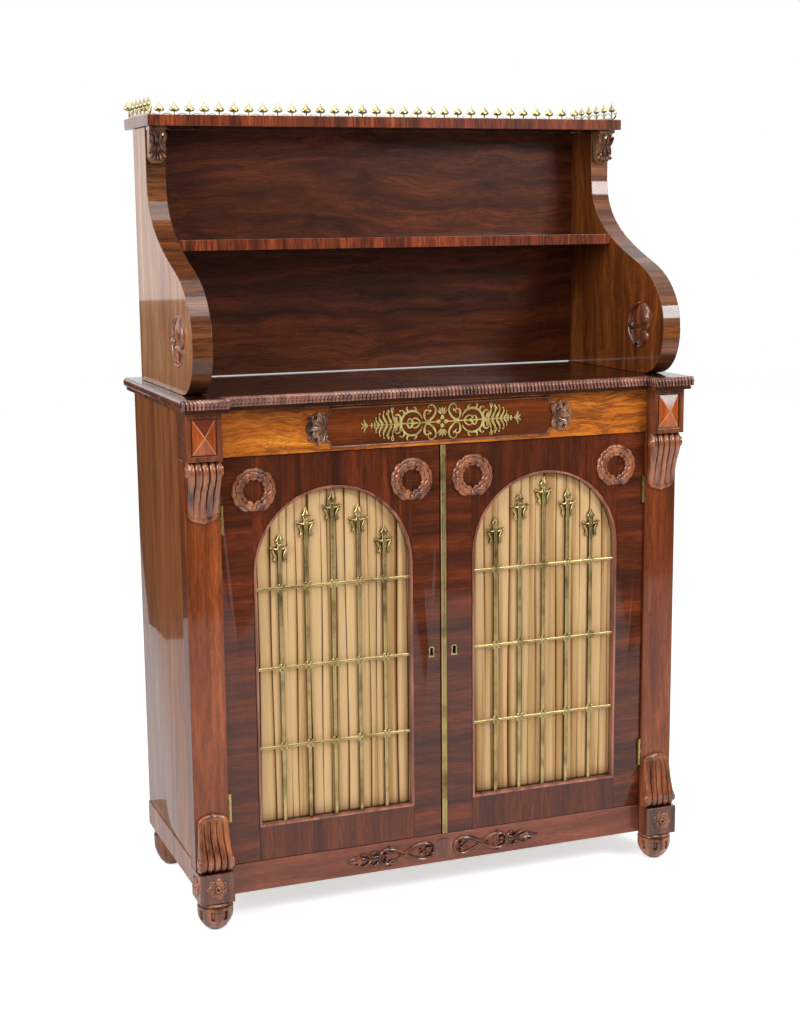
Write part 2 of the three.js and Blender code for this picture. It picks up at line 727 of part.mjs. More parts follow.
function brassInlay() {
  const half = INLAY_LENGTH / 2;
  const stem = block([-half, half], [-INLAY_LINE / 2, INLAY_LINE / 2], [0, INLAY_THICKNESS]);
  const lozengeShares = [[0, 1], [0.3, 0.2], [1, 0], [0.3, -0.2], [0, -1], [-0.3, -0.2], [-1, 0], [-0.3, 0.2]];
  const size = INLAY_HEIGHT / 4;
  const lozenge = flatBoard(outline(lozengeShares.map(([a, b]) => [a * size, b * size])), 0, INLAY_THICKNESS);
  const quarters = [-1, 1].flatMap((x) => [-1, 1].flatMap((y) => inlayQuarter(x, y)));
  const [line, height] = [INLAY_LINE / 2, INLAY_HEIGHT / 2];
  const crossbar = block([-line, line], [-height, height], [0, INLAY_THICKNESS]);
  const sheet = join(stem, crossbar, lozenge, ...quarters);
  return facingFront(sheet, 0, FRIEZE_SETBACK + TABLET_RECESS - FIT, FRIEZE_MIDDLE);
}

// Carved scrolls of the apron: a pair of curls near the middle, and leaves that trail outwards.
const mountCurlShares = [
  [0.36, 0.2, 0.24, -2, 1.4],
  [0.36, -0.2, 0.24, -1.4, 2],
  [0.1, 0.1, 0.26, 0, 2],
];
const mountLeafShares = [
  [-0.08, -0.05, 0.34, 0.7],
  [-0.3, 0.12, 0.3, 0.55],
  [-0.44, -0.12, 0.24, 0.4],
];

function apronMount() {
  const height = ROSETTE_BLOCK_HEIGHT - SINK;
  const quarter = Math.PI / 2;
  const stemWidth = MOUNT_RELIEF;
  const curls = mountCurlShares.map(([x, y, radius, start, end]) => {
    const shape = band(x * MOUNT_LENGTH, y * height, radius * height, stemWidth, start * quarter, end * quarter);
    return flatBoard(shape, -SINK, MOUNT_RELIEF + SINK, CURL_STEPS);
  });
  const leaves = mountLeafShares.map(([x, y, length, width]) => {
    const trailing = leaf(length * MOUNT_LENGTH, width * height, MOUNT_RELIEF);
    return trailing.rotateZ(2 * quarter).translate(x * MOUNT_LENGTH, y * height, 0);
  });
  const middle = APRON_TOP - FIT - ROSETTE_BLOCK_HEIGHT / 2;
  return [...curls, ...leaves].map((piece) => facingFront(piece, -MOUNT_OFFSET, DOOR_SETBACK, middle));
}

function frontApron() {
  const board = block(railSpan, [DOOR_SETBACK, DOOR_SETBACK + PANEL_THICKNESS], [FOOT_HEIGHT, APRON_TOP - FIT]);
  return join(board, ...apronMount(), ...apronMount().map(mirrored));
}

// Counter

const COUNTER_FRONT = GADROON_DEPTH - COUNTER_FRONT_REACH; // of the board, behind the gadrooned strip
const STEP_INNER = PILASTER_INNER - COUNTER_SIDE_REACH + GADROON_DEPTH;
const COUNTER_HALF = HALF_WIDTH + COUNTER_SIDE_REACH;

// The front edge steps forwards over the pilasters. This is its line, moved out by some distance.
function counterEdge(out) {
  const [front, back] = [COUNTER_FRONT - out, COUNTER_FRONT + FRIEZE_SETBACK - out];
  const step = STEP_INNER - out;
  const corners = [
    [COUNTER_HALF, front],
    [step, front],
    [step, back],
    [-step, back],
    [-step, front],
    [-COUNTER_HALF, front],
  ];
  return corners.map(([x, y]) => new THREE.Vector2(x, y));
}

const sideMouldingShares = [
  [0.2, 0],
  [0.5, 0],
  [0.56, 0.28],
  [0.86, 0.36],
  [1, 0.54],
  [1, 0.74],
  [0.86, 0.92],
  [0.6, 1],
  [0.2, 1],
];

// The counter's plan with its front edge moved out, and its ends at a share of the side moulding.
function counterPlan(out, endShare) {
  const end = HALF_WIDTH + COUNTER_SIDE_REACH * endShare;
  const front = counterEdge(out).map(({ x, y }) => [Math.max(-end, Math.min(end, x)), y]);
  return outline([...front, [-end, WALL_LINE], [end, WALL_LINE]]);
}

function counterTop() {
  const [innerShare, lipShare] = [sideMouldingShares[0][0], sideMouldingShares[1][0]];
  const board = flatBoard(counterPlan(0, innerShare), CARCASE_TOP, COUNTER_THICKNESS);
  const lip = flatBoard(counterPlan(LIP_REACH, lipShare), CARCASE_TOP, LIP_HEIGHT);
  const profile = sideMouldingShares.map(([out, up]) => {
    const overlap = out === innerShare ? SINK : 0;
    return [HALF_WIDTH + out * COUNTER_SIDE_REACH - overlap, CARCASE_TOP + up * COUNTER_THICKNESS];
  });
  const moulding = frontBoard(outline(profile), COUNTER_FRONT, WALL_LINE - COUNTER_FRONT);
  return join(board, lip, moulding, mirrored(moulding));
}

// The strip's section as shares of its depth and height; the third value is the share of the depth
// by which a lobe draws in at the grooves.
const gadroonShares = [
  [0, 0, 0],
  [0, 1, 0],
  [0.46, 1, 0.1],
  [1, 0.58, 0.2],
  [0.7, 0, 0],
];

// Stations along the strip, each on a crest or in a groove.
function gadroonStations() {
  const [inner, outer] = [counterEdge(FIT), counterEdge(GADROON_DEPTH)];
  return outer.slice(1).flatMap((corner, i) => {
    const lobes = Math.max(1, Math.round(corner.distanceTo(outer[i]) / GADROON_PITCH));
    const last = i === outer.length - 2 ? 1 : 0;
    return Array.from({ length: 2 * lobes + last }, (_, k) => ({
      inside: inner[i].clone().lerp(inner[i + 1], k / (2 * lobes)),
      outside: outer[i].clone().lerp(outer[i + 1], k / (2 * lobes)),
      crest: k % 2 === 1,
    }));
  });
}

function gadroonedEdge() {
  const bottom = CARCASE_TOP + LIP_HEIGHT + FIT;
  const rings = gadroonStations().map(({ inside, outside, crest }) =>
    gadroonShares.map(([out, up, drawn]) => {
      const place = inside.clone().lerp(outside, crest ? out : out - drawn);
      return point(place.x, place.y, bottom + up * (COUNTER_TOP - bottom));
    }),
  );
  return loft(rings);
}

// Doors. Each is built as a left door, from its hinge edge towards its meeting edge.

const doorDepth = [DOOR_SETBACK, DOOR_BACK];
const doorHeight = [DOOR_BOTTOM, DOOR_TOP];
const openingLeft = -DOOR_OUTER + HINGE_STILE_WIDTH;
const openingRight = -LOCK_STILE_REACH;

// Where the door ends at the meeting gap, which lies to the left of the middle.
const meetingEdge = (side) => side * MEETING_OFFSET - MEETING_GAP / 2;

const silkRebate = () =>
  block(
    [openingLeft - REBATE_WIDTH, openingRight + REBATE_WIDTH],
    [REBATE_FRONT, DOOR_BACK + OVERRUN],
    [OPENING_BOTTOM - REBATE_WIDTH, ARCH_CENTRE + OPENING_HALF + REBATE_WIDTH],
  );

function hingeStile() {
  const stile = block([-DOOR_OUTER, openingLeft], doorDepth, doorHeight);
  return cut(stile, silkRebate(), ...hingePockets(-DOOR_OUTER, 1));
}

function lockStile(side) {
  const edge = meetingEdge(side);
  const stile = block([openingRight, edge], doorDepth, doorHeight);
  const openings = side === LEFT ? [linerPocket(), boltMortise(edge)] : [linerPocket(), lockPocket(edge)];
  return cut(stile, silkRebate(), ...openings);
}

function archedRail() {
  const half = OPENING_HALF - FIT;
  const shape = new THREE.Shape().moveTo(-half, ARCH_CENTRE).lineTo(-half, DOOR_TOP);
  shape.lineTo(half, DOOR_TOP).lineTo(half, ARCH_CENTRE).absarc(0, ARCH_CENTRE, half, 0, Math.PI, false);
  const rail = frontBoard(shape, DOOR_SETBACK, DOOR_THICKNESS).translate(-OPENING_OFFSET, 0, 0);
  return cut(rail, silkRebate());
}

function bottomRail() {
  const rail = block([openingLeft + FIT, openingRight - FIT], doorDepth, [DOOR_BOTTOM, OPENING_BOTTOM]);
  return cut(rail, silkRebate());
}

// The round-headed outline of the opening, drawn in by some distance.
function archOutline(inset, PathClass = THREE.Shape) {
  const half = OPENING_HALF - inset;
  const path = new PathClass().moveTo(-half, OPENING_BOTTOM + inset).lineTo(half, OPENING_BOTTOM + inset);
  return path.absarc(0, ARCH_CENTRE, half, 0, Math.PI, false);
}

function openingBead() {
  const shape = archOutline(2 * FIT);
  shape.holes.push(archOutline(BEAD_WIDTH + 2 * FIT, THREE.Path));
  const front = DOOR_SETBACK - BEAD_PROUD;
  return frontBoard(shape, front, REBATE_FRONT - FIT - front).translate(-OPENING_OFFSET, 0, 0);
}

// Flat pleats that overlap like steps, as shares of a pleat's width and depth.
const pleatShares = [
  [0.06, 1],
  [0.14, 0],
  [0.9, 0.3],
];

function pleatedSilk() {
  const [left, right] = [openingLeft - REBATE_WIDTH + FIT, openingRight + REBATE_WIDTH - FIT];
  const pitch = (right - left) / PLEATS;
  const front = Array.from({ length: PLEATS }, (_, i) =>
    pleatShares.map(([across, deep]) => [left + (i + across) * pitch, REBATE_FRONT + FIT + deep * PLEAT_DEPTH]),
  ).flat();
  const back = front.map(([x, y]) => [x, y + SILK_THICKNESS]).reverse();
  const bottom = OPENING_BOTTOM - REBATE_WIDTH + FIT;
  const top = ARCH_CENTRE + OPENING_HALF + REBATE_WIDTH - FIT;
  return flatBoard(outline([...front, ...back]), bottom, top - bottom);
}

// Half of a spear head, down from its tip, as shares of its half span and length.
const spearShares = [
  [0, 0],
  [0.46, 0.29],
  [0.26, 0.37],
  [0.28, 0.5],
  [0.52, 0.55],
  [1, 0.57],
  [0.88, 0.7],
  [0.66, 0.82],
  [0.49, 1],
  [0.38, 0.95],
  [0.44, 0.8],
  [0.5, 0.7],
  [0.204, 0.67],
];
// How far each tip stands below the middle one, by its place from the middle, in spear pitches.
const tipDropShares = [0, 0.52, 1.37];

function spear(index) {
  const offset = index - (SPEARS - 1) / 2;
  const x = -OPENING_OFFSET + offset * SPEAR_PITCH;
  const tip = ARCH_CENTRE + OPENING_HALF - TIP_DROP - tipDropShares[Math.abs(offset)] * SPEAR_PITCH;
  const foot = OPENING_BOTTOM + BEAD_WIDTH + 3 * FIT;
  const right = spearShares.map(([a, b]) => [x + a * SPEAR_HALF_SPAN, tip - b * SPEAR_LENGTH]);
  const left = spearShares.slice(1).map(([a, b]) => [x - a * SPEAR_HALF_SPAN, tip - b * SPEAR_LENGTH]);
  const rodFeet = [[x + ROD_WIDTH / 2, foot], [x - ROD_WIDTH / 2, foot]];
  const shape = outline([...right, ...rodFeet, ...left.reverse()]);
  return frontBoard(shape, DOOR_SETBACK + GRILLE_SETBACK + BAR_THICKNESS - SINK / 2, ROD_THICKNESS);
}

function grille() {
  const reach = OPENING_HALF - BEAD_WIDTH - 3 * FIT;
  const front = DOOR_SETBACK + GRILLE_SETBACK;
  const levels = Array.from({ length: BARS }, (_, i) => OPENING_BOTTOM + (i + 1) * BAR_PITCH);
  const bars = levels.map((z) =>
    block(
      [-OPENING_OFFSET - reach, -OPENING_OFFSET + reach],
      [front, front + BAR_THICKNESS],
      [z - BAR_HEIGHT / 2, z + BAR_HEIGHT / 2],
    ),
  );
  const spears = Array.from({ length: SPEARS }, (_, i) => spear(i));
  const studs = levels.flatMap((z) =>
    Array.from({ length: SPEARS }, (_, i) => {
      const x = -OPENING_OFFSET + (i - (SPEARS - 1) / 2) * SPEAR_PITCH;
      return facingFront(rod(STUD_RADIUS, -SINK, STUD_PROUD, PIN_SIDES), x, front, z);
    }),
  );
  return join(...bars, ...spears, ...studs);
}

const wreathSectionShares = [
  [-1, 0],
  [-0.62, 0.75],
  [0, 1],
  [0.62, 0.75],
  [1, 0],
];

// A ring of leaf clusters that swell and draw in.
function wreath(fromMiddle) {
  const steps = WREATH_LEAVES * 2;
  const swellShare = 0.86;
  const rings = Array.from({ length: steps }, (_, i) => {
    const angle = (i * 2 * Math.PI) / steps;
    const swell = i % 2 ? swellShare : 1;
    return wreathSectionShares.map(([out, up]) => {
      const radius = WREATH_RADIUS + out * WREATH_HALF_BAND * swell;
      return point(radius * Math.cos(angle), radius * Math.sin(angle), up * WREATH_RELIEF * swell);
    });
  });
  return facingFront(loft(rings, true), -fromMiddle, DOOR_SETBACK - FIT, DOOR_TOP - WREATH_DROP);
}

// A round head on a skirt that widens downwards.
function keyholeOutline(inset, PathClass = THREE.Shape) {
  const radius = KEYHOLE_RADIUS - inset;
  const foot = KEYHOLE_RADIUS - KEYHOLE_LENGTH + inset;
  const lean = Math.PI / 4;
  const path = new PathClass().moveTo(-radius, foot).lineTo(radius, foot);
  return path.absarc(0, 0, radius, -lean, Math.PI + lean, false);
}

// Runs back from the door's face at the keyhole.
const atKeyhole = (shape, front, depth) =>
  frontBoard(shape, front, depth, CURL_STEPS).translate(-KEYHOLE_OFFSET, 0, KEYHOLE_Z);

const LOCK_BACK = DOOR_BACK + LOCK_PROUD;
const LOCK_FRONT = LOCK_BACK - LOCK_DEPTH;
const LINER_BACK = LOCK_FRONT + SINK;

const linerPocket = () =>
  atKeyhole(keyholeOutline(-FIT), DOOR_SETBACK - OVERRUN, LINER_BACK + FIT - DOOR_SETBACK + OVERRUN);

function keyholeLiner() {
  const shape = keyholeOutline(0);
  shape.holes.push(keyholeOutline(KEYHOLE_WALL, THREE.Path));
  const front = DOOR_SETBACK - KEYHOLE_PROUD;
  return atKeyhole(shape, front, LINER_BACK - front);
}

const BOLT_MIDDLE = (LOCK_FRONT + LOCK_BACK) / 2;

// A box round the bolt's section, grown by a clearance.
const boltBox = (x, play) =>
  block(
    x,
    [BOLT_MIDDLE - BOLT_THICKNESS / 2 - play, BOLT_MIDDLE + BOLT_THICKNESS / 2 + play],
    [KEYHOLE_Z - BOLT_HEIGHT / 2 - play, KEYHOLE_Z + BOLT_HEIGHT / 2 + play],
  );

const lockSpan = [KEYHOLE_Z - LOCK_HEIGHT / 2, KEYHOLE_Z + LOCK_HEIGHT / 2];

const lockPocket = (edge) =>
  block(
    [edge - LOCK_WIDTH - FIT, edge + OVERRUN],
    [LOCK_FRONT - FIT, DOOR_BACK + OVERRUN],
    [lockSpan[0] - FIT, lockSpan[1] + FIT],
  );

const boltMortise = (edge) => boltBox([edge - BOLT_TRAVEL - FIT, edge + OVERRUN], 2 * FIT);

function lockCase(edge) {
  const face = edge - FIT;
  const shell = block([edge - LOCK_WIDTH, face], [LOCK_FRONT, LOCK_BACK], lockSpan);
  const channel = boltBox([face - BOLT_LENGTH - FIT, face + OVERRUN], 2 * FIT);
  const keyway = atKeyhole(keyholeOutline(KEYHOLE_WALL), LOCK_FRONT - SINK, BOLT_MIDDLE - LOCK_FRONT + SINK);
  return cut(join(shell, keyholeLiner()), channel, keyway);
}

const lockBolt = (edge) => boltBox([edge - FIT - BOLT_LENGTH, edge - FIT], 0);

// A brass strip with three reeds, on the face of the door along its meeting edge.
function meetingStrip(edge) {
  const back = DOOR_SETBACK - FIT;
  const steps = STRIP_REEDS * 4;
  const front = Array.from({ length: steps + 1 }, (_, k) => {
    const swell = Math.abs(Math.sin((k * Math.PI * STRIP_REEDS) / steps));
    return [edge - (k * STRIP_WIDTH) / steps, back - STRIP_PROUD * (1 + swell) / 2];
  });
  const section = outline([[edge, back], ...front, [edge - STRIP_WIDTH, back]]);
  return flatBoard(section, DOOR_BOTTOM, DOOR_HEIGHT);
}

// Hinges. The jamb leaf carries the pin, and the door leaf turns on it.

const knuckleSpan = (level, index) => {
  const pitch = HINGE_LENGTH / KNUCKLES;
  const play = PIN_PLAY / 2;
  return [level + index * pitch + play, level + (index + 1) * pitch - play];
};

const knucklesOf = (first) => Array.from({ length: KNUCKLES }, (_, i) => i).filter((i) => i % 2 === first);

function jambLeaf(level) {
  const face = -PILASTER_INNER;
  const plate = block(
    [face - HINGE_LEAF_THICKNESS, face],
    [HINGE_AXIS_Y, HINGE_AXIS_Y + HINGE_LEAF_WIDTH],
    [level, level + HINGE_LENGTH],
  );
  const barrels = knucklesOf(0).flatMap((i) => {
    const [low, high] = knuckleSpan(level, i);
    const web = [HINGE_AXIS_Y - KNUCKLE_RADIUS / 2, HINGE_AXIS_Y + KNUCKLE_RADIUS / 2];
    return [
      rod(KNUCKLE_RADIUS, low, high).translate(-HINGE_AXIS_X, HINGE_AXIS_Y, 0),
      block([face - HINGE_LEAF_THICKNESS, -HINGE_AXIS_X], web, [low, high]),
    ];
  });
  const ends = [knuckleSpan(level, 0)[0], knuckleSpan(level, KNUCKLES - 1)[1]];
  const pin = rod(PIN_RADIUS, ...ends, PIN_SIDES).translate(-HINGE_AXIS_X, HINGE_AXIS_Y, 0);
  return join(plate, ...barrels, pin);
}

function doorLeaf(level) {
  const face = -DOOR_OUTER;
  const x = [face, face + HINGE_LEAF_THICKNESS];
  const knuckleBack = HINGE_AXIS_Y + KNUCKLE_RADIUS + 2 * FIT;
  const plate = block(x, [knuckleBack, HINGE_AXIS_Y + HINGE_LEAF_WIDTH], [level, level + HINGE_LENGTH]);
  const barrels = knucklesOf(1).flatMap((i) => {
    const [low, high] = knuckleSpan(level, i);
    return [
      rod(KNUCKLE_RADIUS, low, high).translate(-HINGE_AXIS_X, HINGE_AXIS_Y, 0),
      block(x, [HINGE_AXIS_Y, knuckleBack + SINK], [low, high]),
    ];
  });
  const bore = rod(PIN_RADIUS + PIN_PLAY, level - OVERRUN, level + HINGE_LENGTH + OVERRUN, PIN_SIDES);
  return cut(join(plate, ...barrels), bore.translate(-HINGE_AXIS_X, HINGE_AXIS_Y, 0));
}

// Superstructure

const UPPER_BASE = COUNTER_TOP + FIT;
const UPPER_TOP = TOP_BOTTOM - FIT;

// The curve of a scroll end's front, as shares of its reach and height: where the neck ends,
// then two guides and an end for each of three curves, down to the foot.
const scrollShares = {
  neck: [1, 0.795],
  curves: [
    [1, 0.616, 0.681, 0.531, 0.333, 0.449],
    [0.16, 0.406, 0, 0.326, 0, 0.185],
    [0, 0.08, 0.108, 0, 0.281, 0],
  ],
};

function scrollOutline() {
  const toPlace = (shares) =>
    shares.map((share, i) => {
      const upright = i % 2 === 1;
      return upright ? UPPER_BASE + share * (UPPER_TOP - UPPER_BASE) : BELLY_FRONT + share * END_REACH;
    });
  const shape = new THREE.Shape().moveTo(END_BACK, UPPER_BASE).lineTo(END_BACK, UPPER_TOP);
  shape.lineTo(NECK_FRONT, UPPER_TOP).lineTo(...toPlace(scrollShares.neck));
  scrollShares.curves.forEach((curve) => shape.bezierCurveTo(...toPlace(curve)));
  return shape;
}

// A carved shield with a bud in its middle.
const bossShares = [
  [-0.08, 0.5],
  [0.08, 0.5],
  [0.2, 0.34],
  [0.42, 0.24],
  [0.5, 0],
  [0.42, -0.24],
  [0.2, -0.38],
  [0.06, -0.5],
  [-0.06, -0.5],
  [-0.2, -0.38],
  [-0.42, -0.24],
  [-0.5, 0],
  [-0.42, 0.24],
  [-0.2, 0.34],
];
const bossCrestShare = 0.72; // of its outline that its crest fills

function boss() {
  const rim = bossShares.map(([a, b]) => [a * BOSS_WIDTH, b * BOSS_LENGTH]);
  const shield = mound(rim, BOSS_RELIEF / 2, bossCrestShare);
  const bud = new THREE.SphereGeometry(1, ROD_SIDES, ROD_SIDES / 2);
  bud.scale(BOSS_WIDTH / 4, BOSS_LENGTH / 3, BOSS_RELIEF - SINK);
  return join(shield, closed(bud).translate(0, 0, SINK));
}

function scrollEnd() {
  const panel = sideBoard(scrollOutline(), -END_OUTER, END_THICKNESS);
  const place = [BELLY_FRONT + BOSS_SETBACK, COUNTER_TOP + BOSS_LEVEL];
  return join(panel, facingLeft(boss(), -END_OUTER, ...place), facingRight(boss(), -END_INNER, ...place));
}

const bracketShares = [
  [0, 1, 1],
  [0.16, 0.86, 0.9],
  [0.34, 0.94, 0.98],
  [0.6, 0.6, 0.96],
  [0.82, 0.44, 0.84],
  [1, 0.12, 0.56],
];

// A leaf that curls out under the top board, down the front of the neck.
const leafBracket = () =>
  reededScroll({
    middle: -(END_OUTER + END_INNER) / 2,
    back: NECK_FRONT - FIT,
    start: TOP_BOTTOM - FIT,
    way: -1,
    height: BRACKET_HEIGHT - BRACKET_CROWN,
    crown: BRACKET_CROWN,
    half: BRACKET_WIDTH / 2,
    reach: BRACKET_REACH,
    reeds: 3,
    groove: REED_GROOVE,
    rows: bracketShares,
  });

const upperSpan = [-END_INNER + FIT, END_INNER - FIT];

const upperBack = () => block(upperSpan, [UPPER_BACK_FRONT, END_BACK], [COUNTER_TOP + UPPER_BACK_GAP, UPPER_TOP]);

function upperShelf() {
  const level = COUNTER_TOP + UPPER_SHELF_LEVEL;
  const front = NECK_FRONT - UPPER_SHELF_REACH;
  return block(upperSpan, [front, UPPER_BACK_FRONT - FIT], [level, level + UPPER_SHELF_THICKNESS]);
}

const topBoard = () => block([-TOP_HALF, TOP_HALF], [TOP_FRONT, WALL_LINE], [TOP_BOTTOM, TOP_SURFACE]);

// Gallery

const GALLERY_HALF = TOP_HALF - GALLERY_INSET;
const GALLERY_BACK = WALL_LINE - GALLERY_INSET;
const GALLERY_BASE = TOP_SURFACE + FIT;

// Half of a finial, up from its foot, as shares of its width and height.
const finialShares = [
  [0.5, 0.34],
  [0, 1],
];

// A pierced strip: round-headed arches on a rail, with a leaf finial on each post.
function galleryStrip(bays, pitch) {
  const length = bays * pitch;
  const hole = pitch / 2 - GALLERY_POST / 2;
  const crown = hole + GALLERY_RING;
  const postTop = FINIAL_LEVEL;
  const top = [];
  for (let post = bays; post >= 0; post--) {
    const x = post * pitch;
    const half = GALLERY_POST / 2;
    const right = finialShares.map(([a, b]) => [x + a * FINIAL_WIDTH, postTop + b * FINIAL_HEIGHT]);
    const left = finialShares.slice(0, -1).map(([a, b]) => [x - a * FINIAL_WIDTH, postTop + b * FINIAL_HEIGHT]);
    top.push([x + half, post < bays ? crown : 0], [x + half, postTop], ...right, ...left.reverse());
    top.push([x - half, postTop], [x - half, post > 0 ? crown : 0]);
    if (post > 0) top.push([x - pitch / 2, GALLERY_RAIL + crown]);
  }
  const shape = outline(top);
  for (let bay = 0; bay < bays; bay++) {
    const arch = new THREE.Path();
    arch.absarc((bay + 1 / 2) * pitch, GALLERY_RAIL, hole, 0, Math.PI, false);
    shape.holes.push(arch);
  }
  return { shape, length };
}

// The low curl that ends each side strip at the front.
const galleryCurl = () =>
  band(
    -GALLERY_SCROLL_RADIUS,
    GALLERY_SCROLL_RADIUS,
    GALLERY_SCROLL_RADIUS - GALLERY_RING,
    2 * GALLERY_RING,
    -Math.PI / 2,
    Math.PI,
  );

function gallery() {
  const back = galleryStrip(GALLERY_BAYS, (2 * GALLERY_HALF - GALLERY_POST) / GALLERY_BAYS);
  const backStrip = frontBoard(back.shape, GALLERY_BACK, GALLERY_THICKNESS, 2);
  backStrip.translate(-back.length / 2, 0, GALLERY_BASE);
  const run = GALLERY_BACK - TOP_FRONT - GALLERY_FRONT_INSET;
  const pitch = (run - GALLERY_SCROLL_RADIUS * 2) / GALLERY_SIDE_BAYS;
  const side = galleryStrip(GALLERY_SIDE_BAYS, pitch);
  const reach = GALLERY_HALF;
  const front = GALLERY_BACK + GALLERY_THICKNESS - GALLERY_POST / 2 - side.length;
  const strip = sideBoard(side.shape, -reach, GALLERY_THICKNESS, 2).translate(0, front, GALLERY_BASE);
  const curl = sideBoard(galleryCurl(), -reach, GALLERY_THICKNESS, CURL_STEPS).translate(0, front, GALLERY_BASE);
  const foot = block(
    [-reach, -reach + GALLERY_THICKNESS],
    [front - GALLERY_SCROLL_RADIUS, front],
    [GALLERY_BASE, GALLERY_BASE + GALLERY_RAIL],
  );
  return join(backStrip, strip, curl, foot, ...[strip, curl, foot].map(mirrored));
}

// Assembly

const chiffonier = new THREE.Group();
chiffonier.name = "chiffonier";
chiffonier.position.y = -MIDDLE_DEPTH;

function add(parent, name, geometry, material) {
  const mesh = new THREE.Mesh(geometry, material);
  mesh.name = name;
  parent.add(mesh);
}

// Adds a left piece and its mirror image.
function addPair(parent, name, geometry, material) {
  for (const [side, word] of [[LEFT, "left"], [RIGHT, "right"]]) {
    add(parent, `${word}_${name}`, handed(side, geometry), material);
  }
}

function addCarcase(parent) {
  addPair(parent, "side_panel", sidePanel(), rosewood);
  add(parent, "carcase_back", carcaseBack(), secondaryWood);
  add(parent, "bottom_board", bottomBoard(), secondaryWood);
  add(parent, "interior_shelf", innerBoard(SHELF_SETBACK, SHELF_LEVEL), secondaryWood);
  addPair(parent, "pilaster", pilaster(), rosewood);
  addPair(parent, "upper_corbel", upperCorbel(), carvedRosewood);
  addPair(parent, "lower_corbel", lowerCorbel(), carvedRosewood);
  addPair(parent, "front_foot", frontFoot(), carvedRosewood);
  addPair(parent, "back_foot", backFoot(), carvedRosewood);
  add(parent, "frieze_rail", friezeRail(), goldenRosewood);
  add(parent, "brass_inlay", brassInlay(), brass);
  add(parent, "front_apron", frontApron(), rosewood);
  add(parent, "counter_top", counterTop(), rosewood);
  add(parent, "gadrooned_edge", gadroonedEdge(), carvedRosewood);
  HINGE_LEVELS.forEach((level, i) => {
    addPair(parent, `${i ? "upper" : "lower"}_jamb_leaf`, jambLeaf(level), brass);
  });
}

function addSuperstructure(parent) {
  addPair(parent, "scroll_end", scrollEnd(), rosewood);
  addPair(parent, "leaf_bracket", leafBracket(), carvedRosewood);
  add(parent, "superstructure_back", upperBack(), rosewood);
  add(parent, "upper_shelf", upperShelf(), rosewood);
  add(parent, "top_board", topBoard(), rosewood);
  add(parent, "brass_gallery", gallery(), brass);
}

// A door hangs in a group of its own, whose origin is on the hinge axis.
function addDoor(parent, side) {
  const word = side === LEFT ? "left" : "right";
  const hung = new THREE.Group();
  hung.position.set(side * HINGE_AXIS_X, HINGE_AXIS_Y, 0);
  const hang = (name, geometry, material) => {
    const placed = handed(side, geometry).translate(-hung.position.x, -hung.position.y, 0);
    add(hung, `${word}_door_${name}`, placed, material);
  };
  const edge = meetingEdge(side);
  hang("hinge_stile", hingeStile(), rosewood);
  hang("lock_stile", lockStile(side), rosewood);
  hang("arched_rail", archedRail(), rosewood);
  hang("bottom_rail", bottomRail(), rosewood);
  hang("opening_bead", openingBead(), rosewood);
  hang("silk", pleatedSilk(), silk);
  hang("grille", grille(), brass);
  hang("outer_wreath", wreath(DOOR_OUTER - WREATH_OUTER_INSET), carvedRosewood);
  hang("inner_wreath", wreath(WREATH_INNER_REACH), carvedRosewood);
  HINGE_LEVELS.forEach((level, i) => hang(`${i ? "upper" : "lower"}_leaf`, doorLeaf(level), brass));
  if (side === LEFT) {
    hang("keyhole_liner", keyholeLiner(), brass);
  } else {
    hang("lock_case", lockCase(edge), iron);
    hang("lock_bolt", lockBolt(edge), brass);
    hang("meeting_strip", meetingStrip(edge), brass);
  }
  parent.add(hung);
}

addCarcase(chiffonier);
addSuperstructure(chiffonier);
addDoor(chiffonier, LEFT);
addDoor(chiffonier, RIGHT);

export default chiffonier;
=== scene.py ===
"""The looks of a rosewood chiffonier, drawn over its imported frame.

Boards keep the frame's own shapes with eased edges. Everything that is carved, cast or sewn is
modelled here in full: corbels, feet, wreaths, leaves, the brass grilles and gallery, the inlay and
the pleated silk. Lengths are in metres, and the piece faces -Y. Pieces that come in pairs are
modelled on the left, and the right ones mirror them.
"""

import functools
import logging
import math
from collections.abc import Callable, Iterable, Sequence
from dataclasses import dataclass, field
from enum import Enum

import bmesh
import bpy
from mathutils import Matrix, Vector


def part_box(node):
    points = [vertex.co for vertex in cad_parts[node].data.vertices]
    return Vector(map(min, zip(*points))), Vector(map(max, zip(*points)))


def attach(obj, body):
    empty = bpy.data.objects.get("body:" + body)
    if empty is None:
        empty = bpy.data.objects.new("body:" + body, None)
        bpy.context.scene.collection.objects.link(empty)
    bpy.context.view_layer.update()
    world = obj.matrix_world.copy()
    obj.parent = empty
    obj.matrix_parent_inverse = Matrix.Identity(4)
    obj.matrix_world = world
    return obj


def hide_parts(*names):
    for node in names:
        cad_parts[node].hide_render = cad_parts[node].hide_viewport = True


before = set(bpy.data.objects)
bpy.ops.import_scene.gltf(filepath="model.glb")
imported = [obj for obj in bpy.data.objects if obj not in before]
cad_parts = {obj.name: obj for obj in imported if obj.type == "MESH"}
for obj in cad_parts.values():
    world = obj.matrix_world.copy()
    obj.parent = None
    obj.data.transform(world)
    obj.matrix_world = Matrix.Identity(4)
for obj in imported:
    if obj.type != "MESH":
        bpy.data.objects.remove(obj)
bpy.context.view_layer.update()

log = logging.getLogger("chiffonier")

